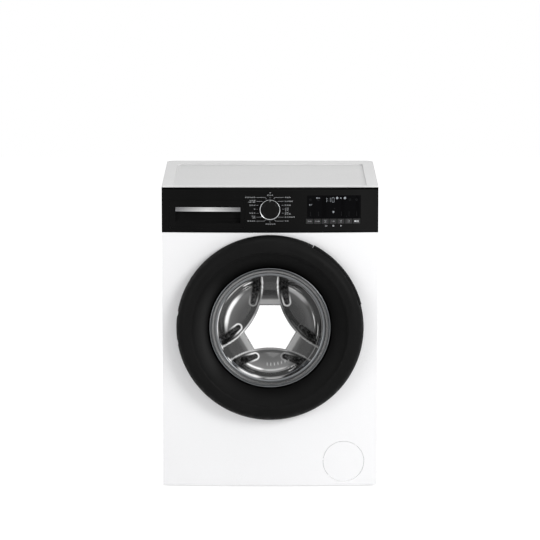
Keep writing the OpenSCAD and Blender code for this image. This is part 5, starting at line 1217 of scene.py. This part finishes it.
class WASHER_OT_drawer_strip(bpy.types.Operator):
    """Model the drawer's grip strip as a bowed, rounded bar with a shallow hollow along it"""
    bl_idname = "washer.drawer_strip"
    bl_label = "Drawer Grip Strip"

    HOLLOW, THICK, EDGE = 0.0007, 0.0032, 0.0006
    BELOW, ABOVE = 0.0002, 0.0022     # how far the strip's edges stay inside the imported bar's

    def execute(self, context):
        low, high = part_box("drawer_grip_bar")
        z0, z1 = low.z + self.BELOW, high.z - self.ABOVE
        proud = bow_y(high.x) - low.y
        strip = primitive("grid", "drawer_grip_strip", x_subdivisions=48, y_subdivisions=6, size=2)
        for vertex in strip.data.vertices:
            x = (low.x + high.x) / 2 + vertex.co.x * (high.x - low.x) / 2
            share = vertex.co.y
            off = proud - self.HOLLOW * (1 - share * share)
            vertex.co = (x, bow_y(x) - off, (z0 + z1) / 2 + share * (z1 - z0) / 2)
        rounded(thickened(strip, (0, self.THICK, 0)), self.EDGE, 3, 50)
        put(smooth(strip, 40), "drawer", coat("drawer_grip_bar"))
        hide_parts("drawer_grip_bar")
        return {"FINISHED"}


class WASHER_OT_dial_ring(bpy.types.Operator):
    """Spin the dial's dished silver ring, open at the top where the pointer sits"""
    bl_idname = "washer.dial_ring"
    bl_label = "Dial Ring"

    GAP, GAP_IN = 0.0024, 0.002       # opening at the pointer, measured this far inside the ring's edge
    WIDE = 0.0041

    def execute(self, context):
        low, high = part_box("dial_ring")
        outer, deep = high.x, high.y - low.y
        inner = outer - self.WIDE
        outline = [(inner, 0.0), (outer, 0.0), (outer, deep - 0.0008), (outer - 0.0003, deep - 0.0002),
                   (outer - 0.0009, deep), (outer - 0.0016, deep - 0.0003), (inner + 0.0004, deep - 0.0024),
                   (inner, deep - 0.0029)]
        gap = self.GAP / (outer - self.GAP_IN)
        ring = spun("dial_ring_dished", outline, (0, high.y, DIAL_Z), axis=(0, -1, 0), steps=160,
                    turn=2 * math.pi - gap, tilt=gap / 2)
        put(smooth(ring), "dial", coat("dial_ring"))
        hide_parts("dial_ring")
        return {"FINISHED"}


class WASHER_OT_door_ring(bpy.types.Operator):
    """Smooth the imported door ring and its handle, so that their crests and edges shade as one skin"""
    bl_idname = "washer.door_ring"
    bl_label = "Door Ring and Handle"

    def execute(self, context):
        for node, body in (("door_ring", "door"), ("door_handle", "handle")):
            put(skinned(node, 42), body, coat(node))
        return {"FINISHED"}


class WASHER_OT_trim(bpy.types.Operator):
    """Spin the stepped trim ring round the bowl, with three beads and the grooves between them"""
    bl_idname = "washer.trim"
    bl_label = "Door Trim Ring"

    # from the outer edge inwards: (radius, how far in front of the flange)
    BEADS = ((0.1662, 0.0036), (0.1642, 0.0036), (0.1630, 0.0028), (0.1624, 0.0012), (0.1612, 0.0012),
             (0.1604, 0.0022), (0.1584, 0.0030), (0.1562, 0.0030), (0.1546, 0.0022), (0.1540, 0.0007),
             (0.1528, 0.0007), (0.1520, 0.0014), (0.1500, 0.0018), (0.1476, 0.0012), (0.1464, 0.0006))
    INNER, EDGE = 0.1462, 0.0026

    def execute(self, context):
        back, front = TRIM_HIGH.y, TRIM_LOW.y
        outer = TRIM_HIGH.x - 0.0002
        outline = [(self.INNER, 0.0), (outer, 0.0), (outer, self.EDGE), *self.BEADS]
        ring = spun("trim_ring_beads", [(away, min(off, back - front)) for away, off in outline],
                    (0, back, DOOR_Z), axis=(0, -1, 0), steps=256)
        put(smooth(ring, 50), "door", coat("door_trim_ring"))
        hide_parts("door_trim_ring")
        return {"FINISHED"}


class WASHER_OT_worktop(bpy.types.Operator):
    """Lay the laminate sheet that faces the sunk worktop, with its rounded corners"""
    bl_idname = "washer.worktop"
    bl_label = "Worktop Laminate"

    THICK = 0.0005
    SIDE, FRONT, BACK = 0.0321, 0.0121, 0.0751   # the rim's widths, and a hair of play
    CORNERS = ((0.003, False), (0.014, True))    # radius of the front corners, then of those behind

    def execute(self, context):
        low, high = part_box("top_frame")
        y0, y1 = low.y + self.FRONT, high.y - self.BACK
        sheet = primitive("plane", "worktop_laminate", size=1)
        sheet.data.transform(at(0, (y0 + y1) / 2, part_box("top_board")[1].z + PRINT_LIFT)
                             @ Matrix.Diagonal((2 * (high.x - self.SIDE), y1 - y0, 1, 1)))
        for radius, behind in self.CORNERS:
            pick(sheet)
            for vertex in sheet.data.vertices:
                vertex.select = (vertex.co.y > 0) == behind
            bpy.ops.object.mode_set(mode="EDIT")
            bpy.ops.mesh.bevel(affect="VERTICES", offset=radius, segments=8)
            bpy.ops.mesh.select_all(action="DESELECT")
            bpy.ops.object.mode_set(mode="OBJECT")
        thickened(sheet, (0, 0, self.THICK))
        put(smooth(sheet), "cabinet", coat("top_board"))
        return {"FINISHED"}


class WASHER_OT_tray(bpy.types.Operator):
    """Fit the drawer tray with its siphon cap, its fill marks and the numbers of its compartments"""
    bl_idname = "washer.tray"
    bl_label = "Drawer Tray Fittings"

    WALL, CHAMBER = 0.002, 0.050                 # the tray's wall, and where its softener chamber ends
    CAP_FRONT, CAP_BACK = -0.1150, -0.0268
    NUMBERS = (("2", 0.094), ("1", 0.160))  # each compartment's number and its place from the tray's side
    NUMBER_HIGH, NUMBER_Y = 0.026, -0.1800
    FILL_LINES = ((0.0520, 0.024), (0.0520, 0.034), (0.002, 0.030))  # place across, height above the floor

    def siphon_cap(self, x0, x1, floor, top):
        """Cap over the back of the softener chamber: plate, drowned tube, finger tab, rim and slots."""
        middle, front, back = (x0 + x1) / 2, self.CAP_FRONT, self.CAP_BACK
        parts = [block((x0 + 0.0002, front, top - 0.0130), (x1 - 0.0002, back, top - 0.0105), 0.0006),
                 spun("tube", [(0.0050, floor + 0.0008), (0.0068, floor + 0.0008), (0.0062, top - 0.0128),
                               (0.0044, top - 0.0128)], (middle, -0.0450, 0), axis=(0, 0, 1), steps=40),
                 block((middle - 0.009, front - 0.0085, top - 0.0125),
                       (middle + 0.009, front + 0.0005, top - 0.0110),
                       0.0006)]
        parts += [block((x0 + 0.0015, y, top - 0.0106), (x1 - 0.0015, y + 0.0014, top - 0.0070), 0.0003)
                  for y in (-0.1140, -0.0290)]
        parts += [block((x, -0.1134, top - 0.0107), (x + 0.0014, -0.0282, top - 0.0072), 0.0003)
                  for x in (x0 + 0.0017, x1 - 0.0031)]
        parts += [block((x0 + 0.010 + 0.006 * step, -0.1000, top - 0.0106),
                        (x0 + 0.012 + 0.006 * step, -0.0640, top - 0.0098), 0.0003) for step in range(5)]
        return joined("softener_siphon_cap", parts)

    def execute(self, context):
        low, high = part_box("drawer_tray")
        blue = finish("blue_polypropylene", "#2F6FA8", "#3A7DB8", 1.0, (0.35, 0.48), 0.02)
        floor = low.z + self.WALL
        cap = self.siphon_cap(low.x + self.WALL, low.x + self.CHAMBER, floor, high.z)
        put(smooth(cap), "drawer", blue)
        # raised numbers on the floors and fill lines on the side walls
        marks = []
        for text, across in self.NUMBERS:
            figure = figures(text, self.NUMBER_HIGH, 0, 0)
            figure.data.transform(at(low.x + across, self.NUMBER_Y, floor) @ Matrix.Diagonal((1, 1, 24, 1)))
            marks.append(figure)
        for across, up in self.FILL_LINES:
            x, z = low.x + across, floor + up
            marks.append(block((x - 0.0002, -0.2120, z), (x + 0.0006, -0.1820, z + 0.0008), 0.0002, 1))
        put(joined("tray_numbers", marks), "drawer", coat("drawer_tray"))
        return {"FINISHED"}


class WASHER_OT_door_fittings(bpy.types.Operator):
    """Add the screws of the door's back and of the hinge, and the spring wire that holds the gasket"""
    bl_idname = "washer.door_fittings"
    bl_label = "Door Screws and Gasket Wire"

    SCREWS, SCREWS_R, SCREWS_Y = (10, 50, 90, 130, 155, 205, 250, 290, 330), 0.234, -0.25498
    HINGE_Y, HINGE_Z = -0.23498, (-0.040, 0.0, 0.040)
    WIRE_R, WIRE_Y, WIRE_THICK = 0.1762, -0.2366, 0.0011
    # coil spring that closes the wire at the bottom: turns, points by the turn, half span, radii and wire
    COIL_TURNS, COIL_POINTS, COIL_SPAN = 16, 14, 9
    COIL_OUT, COIL_DEEP, COIL_Y, COIL_WIRE = 0.0026, 0.0020, -0.2372, 0.0005

    def execute(self, context):
        zinc = coat("panel_screws")
        places = [at(*round_door(self.SCREWS_R, degrees, self.SCREWS_Y)) for degrees in self.SCREWS]
        put(copies("door_back_screws", screw_head("head", 0.0036, 0.0022), places), "door",
            zinc)
        # the hinge's heads face forward, so each is turned about the vertical
        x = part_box("hinge_bracket")[1].x - 0.008
        places = [at(x, self.HINGE_Y, DOOR_Z + z) @ turned(180, "Z") for z in self.HINGE_Z]
        put(copies("hinge_screws", screw_head("head", 0.0042, 0.0024), places), "cabinet",
            zinc)

        thick, sides = self.WIRE_THICK, [math.pi * k / 5 for k in range(10)]
        wire = spun("wire", [(self.WIRE_R + thick * math.cos(t), thick * math.sin(t)) for t in sides],
                    (0, self.WIRE_Y, DOOR_Z), steps=200)
        points, along = self.COIL_TURNS * self.COIL_POINTS, []
        for step in range(points + 1):
            share = step / points
            coil = 2 * math.pi * self.COIL_TURNS * share
            along.append(round_door(self.WIRE_R + self.COIL_OUT * math.cos(coil),
                                    270 + self.COIL_SPAN * (2 * share - 1),
                                    self.COIL_Y + self.COIL_DEEP * math.sin(coil)))
        spring = tube_along("spring", along, self.COIL_WIRE, 6)
        put(smooth(joined("gasket_tension_wire", [wire, spring]), 50), "cabinet",
            coat("suspension_springs"))
        return {"FINISHED"}


class WASHER_OT_hose_clamps(bpy.types.Operator):
    """Clamp each end of the hoses with a worm-drive band, and the tub's seam with spring clips"""
    bl_idname = "washer.hose_clamps"
    bl_label = "Hose Clamps and Tub Clips"

    CLIPS, SEAM_Y, LIP_R = 14, -0.120, 0.273
    # a clip's jaw on each side of the seam and its bridge: near and far y, low and high radius
    CLIP = ((-0.0066, -0.0052, -0.006, 0.0014), (0.0052, 0.0066, -0.006, 0.0014),
            (-0.0066, 0.0066, 0.0003, 0.0017))

    def execute(self, context):
        zinc = coat("panel_screws")
        low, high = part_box("sump_hose")
        middle, radius = (low + high) / 2, (high.x - low.x) / 2 + 0.0002
        for name, body, z in (("pump", "cabinet", low.z + 0.006), ("tub", "tub", high.z - 0.006)):
            put(hose_clamp(f"sump_hose_clamp_{name}", radius, (middle.x, middle.y, z)), body,
                zinc)
        low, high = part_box("drain_hose")
        middle, radius = (low + high) / 2, (high.x - low.x) / 2 + 0.0002
        for name, y in (("pump", low.y + 0.007), ("outlet", high.y - 0.007)):
            put(hose_clamp(f"drain_hose_clamp_{name}", radius, (middle.x, y, middle.z), (0, 1, 0), 0.008),
                "cabinet", zinc)
        # spring clips that hold the two tub halves together
        clip = joined("clip", [block((-0.011, self.SEAM_Y + y0, self.LIP_R + r0),
                                     (0.011, self.SEAM_Y + y1, self.LIP_R + r1), 0.0004)
                               for y0, y1, r0, r1 in self.CLIP])
        places = [at(0, 0, DOOR_Z) @ turned(360 * (step + 0.5) / self.CLIPS, "Y")
                  for step in range(self.CLIPS)]
        put(copies("tub_seam_clips", clip, places), "tub", coat("suspension_springs"))
        return {"FINISHED"}


class WASHER_OT_flexing(bpy.types.Operator):
    """Stand merged, smoothly shaded copies in for the parts between the cabinet and the tub"""
    bl_idname = "washer.flexing"
    bl_label = "Parts That Give"

    # part, slot, axis it gives along (y is 1, z is 2), where the cabinet lets go of it, where the tub holds
    # it, and its smoothing angle
    PARTS = (("door_gasket", "gasket_rubber", 1, -0.2350, -0.2085, 36),
             ("suspension_springs", "spring_steel", 2, 0.770, 0.650, 50),
             ("dampers", "dark_moulding", 2, 0.1415, 0.1915, 36),      # the rod slides out of its cylinder
             ("sump_hose", "black_rubber", 2, 0.1230, 0.2270, 50),
             ("fill_hose", "black_rubber", 2, 0.7285, 0.7075, 50))

    def execute(self, context):
        for node, slot, axis, start, end, angle in self.PARTS:
            ends = [Vector((0, 0, 0)), Vector((0, 0, 0))]
            ends[0][axis], ends[1][axis] = start, end
            piece = skinned(node, angle)
            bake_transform(piece)
        return {"FINISHED"}


class WASHER_OT_circuit(bpy.types.Operator):
    """Populate the back of the control board with its relays, capacitors, chip and connectors"""
    bl_idname = "washer.circuit"
    bl_label = "Control Board Components"

    BOARD_Y = -0.2289                            # back face of the board
    CHIP = (0.066, 0.770, 0.080, 0.784)  # x and z of its lower left corner, then of the upper right one
    LEADS, LEAD_X, LEAD_STEP = 9, 0.0680, 0.00125
    RELAYS, SOCKETS, PITCH = 3, 4, 0.022

    def execute(self, context):
        y = self.BOARD_Y
        black = grained_moulding("black_epoxy_package", "#161617", "#1E1E20", 0.8, (0.4, 0.55), 0.01)
        sleeve = grained_moulding("capacitor_sleeve", "#1F2B4A", "#27355A", 0.8, (0.3, 0.42), 0.01)
        tin = drawn_metal("tinned_lead", "#B2B5B7", "#D2D4D5", (1, 1, 0.2), (0.25, 0.4))
        x0, z0, x1, z1 = self.CHIP
        packages = [block((x0, y, z0), (x1, y + 0.0016, z1), 0.0003)]
        packages += [block((x, y, 0.8120), (x + 0.017, y + 0.0095, 0.8270), 0.0008)
                     for x in [0.100 + self.PITCH * n for n in range(self.RELAYS)]]
        put(smooth(joined("board_packages", packages)), "cabinet", black)

        lead = block((-0.0004, 0, -0.0002), (0.0004, 0.0004, 0.0016), 0.0001, 1)
        along = [self.LEAD_X + self.LEAD_STEP * n for n in range(self.LEADS)]
        places = [at(x, y, z1) for x in along] + [at(x, y, z0) @ turned(180, "Y") for x in along]
        put(copies("chip_leads", lead, places), "cabinet", tin)

        can = spun("can", [(0, 0), (0.0040, 0), (0.0040, 0.0012), (0.0037, 0.0016), (0.0040, 0.0020),
                           (0.0040, 0.0092), (0.0036, 0.0096), (0, 0.0096)], (0, 0, 0), steps=28)
        places = [at(0.030 + 0.011 * (n % 3), y, 0.812 + 0.011 * (n // 3)) for n in range(6)]
        put(smooth(copies("board_capacitors", can, places)), "cabinet", sleeve)

        sockets = []
        for x in [0.175 + self.PITCH * n for n in range(self.SOCKETS)]:
            sockets.append(block((x, y, 0.7280), (x + 0.017, y + 0.0090, 0.7370), 0.0006))
            sockets += [block((x + 0.003 + 0.004 * k, y + 0.0090, 0.7300),
                              (x + 0.0042 + 0.004 * k, y + 0.0096, 0.7350))
                        for k in range(3)]
        put(smooth(joined("board_connectors", sockets)), "cabinet", coat("door_lock"))
        return {"FINISHED"}


class WASHER_OT_rear(bpy.types.Operator):
    """Raise the thread of the water inlet and fit its strainer"""
    bl_idname = "washer.rear"
    bl_label = "Rear Connections"

    PORT_DROP = 0.021                            # port's middle below the valve's top
    # three-quarter inch thread: root and crest radius, first ridge, pitch and number of ridges
    ROOT, CREST, FIRST_Y, PITCH, RIDGES = 0.01315, 0.0139, 0.2904, 0.0018, 6
    MESH, BAR_HALF, REACH = 0.0026, 0.0003, 0.0088               # strainer: spacing and size of its bars
    BAR_Y = (0.2930, 0.2936)

    def execute(self, context):
        low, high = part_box("inlet_valve")
        x, z = (low.x + high.x) / 2, high.z - self.PORT_DROP
        ridges = [spun("ridge", [(self.ROOT, y - 0.0007), (self.CREST, y - 0.0002),
                                 (self.CREST, y + 0.0002),
                                 (self.ROOT, y + 0.0007)], (x, 0, z), steps=64)
                  for y in [self.FIRST_Y + self.PITCH * n for n in range(self.RIDGES)]]
        put(smooth(joined("inlet_thread_ridges", ridges)), "cabinet", coat("inlet_valve"))
        # strainer basket inside the port
        y0, y1 = self.BAR_Y
        steps = [self.MESH * n for n in range(-3, 4)]
        parts = [block((x - self.REACH, y0, z + off - self.BAR_HALF),
                       (x + self.REACH, y1, z + off + self.BAR_HALF))
                 for off in steps]
        parts += [block((x + off - self.BAR_HALF, y0, z - self.REACH),
                        (x + off + self.BAR_HALF, y1, z + self.REACH))
                  for off in steps]
        parts.append(spun("ring", [(0.0076, 0.2925), (0.0090, 0.2925), (0.0090, 0.2945), (0.0076, 0.2945)],
                          (x, 0, z), steps=48))
        put(joined("inlet_strainer", parts), "cabinet", coat("hinge_pin"))
        return {"FINISHED"}


class WASHER_PT_panel(bpy.types.Panel):
    """Lists the pieces of the washing machine's finish"""
    bl_label = "Washing Machine"
    bl_idname = "WASHER_PT_panel"
    bl_space_type = "VIEW_3D"
    bl_region_type = "UI"
    bl_category = "Washer"

    def draw(self, context):
        layout = self.layout
        for group in (context.scene.washer_colours, context.scene.washer_sizes):
            for name in group.bl_rna.properties.keys():
                if name not in ("rna_type", "name"):
                    layout.prop(group, name)
        for operator in PIECES:
            layout.operator(operator.bl_idname)


PIECES = (
    WASHER_OT_stage,
    WASHER_OT_finishes,
    WASHER_OT_bowl,
    WASHER_OT_door_ring,
    WASHER_OT_trim,
    WASHER_OT_drawer_strip,
    WASHER_OT_dial_ring,
    WASHER_OT_dial_marks,
    WASHER_OT_display,
    WASHER_OT_key_marks,
    WASHER_OT_worktop,
    WASHER_OT_tray,
    WASHER_OT_door_fittings,
    WASHER_OT_hose_clamps,
    WASHER_OT_flexing,
    WASHER_OT_circuit,
    WASHER_OT_rear,
)
CLASSES = (WasherColours, WasherSizes, *PIECES, WASHER_PT_panel)


def register():
    """Registers the classes and the scene's settings."""
    for each in CLASSES:
        bpy.utils.register_class(each)
    bpy.types.Scene.washer_colours = PointerProperty(type=WasherColours)
    bpy.types.Scene.washer_sizes = PointerProperty(type=WasherSizes)


def unregister():
    """Removes the settings and the classes."""
    del bpy.types.Scene.washer_sizes
    del bpy.types.Scene.washer_colours
    for each in reversed(CLASSES):
        bpy.utils.unregister_class(each)


def main():
    """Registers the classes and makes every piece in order."""
    register()
    for operator in PIECES:
        group, name = operator.bl_idname.split(".")
        if getattr(getattr(bpy.ops, group), name)() != {"FINISHED"}:
            raise RuntimeError(f"{operator.bl_idname} did not finish")
    deselect()


if __name__ == "__main__":
    main()
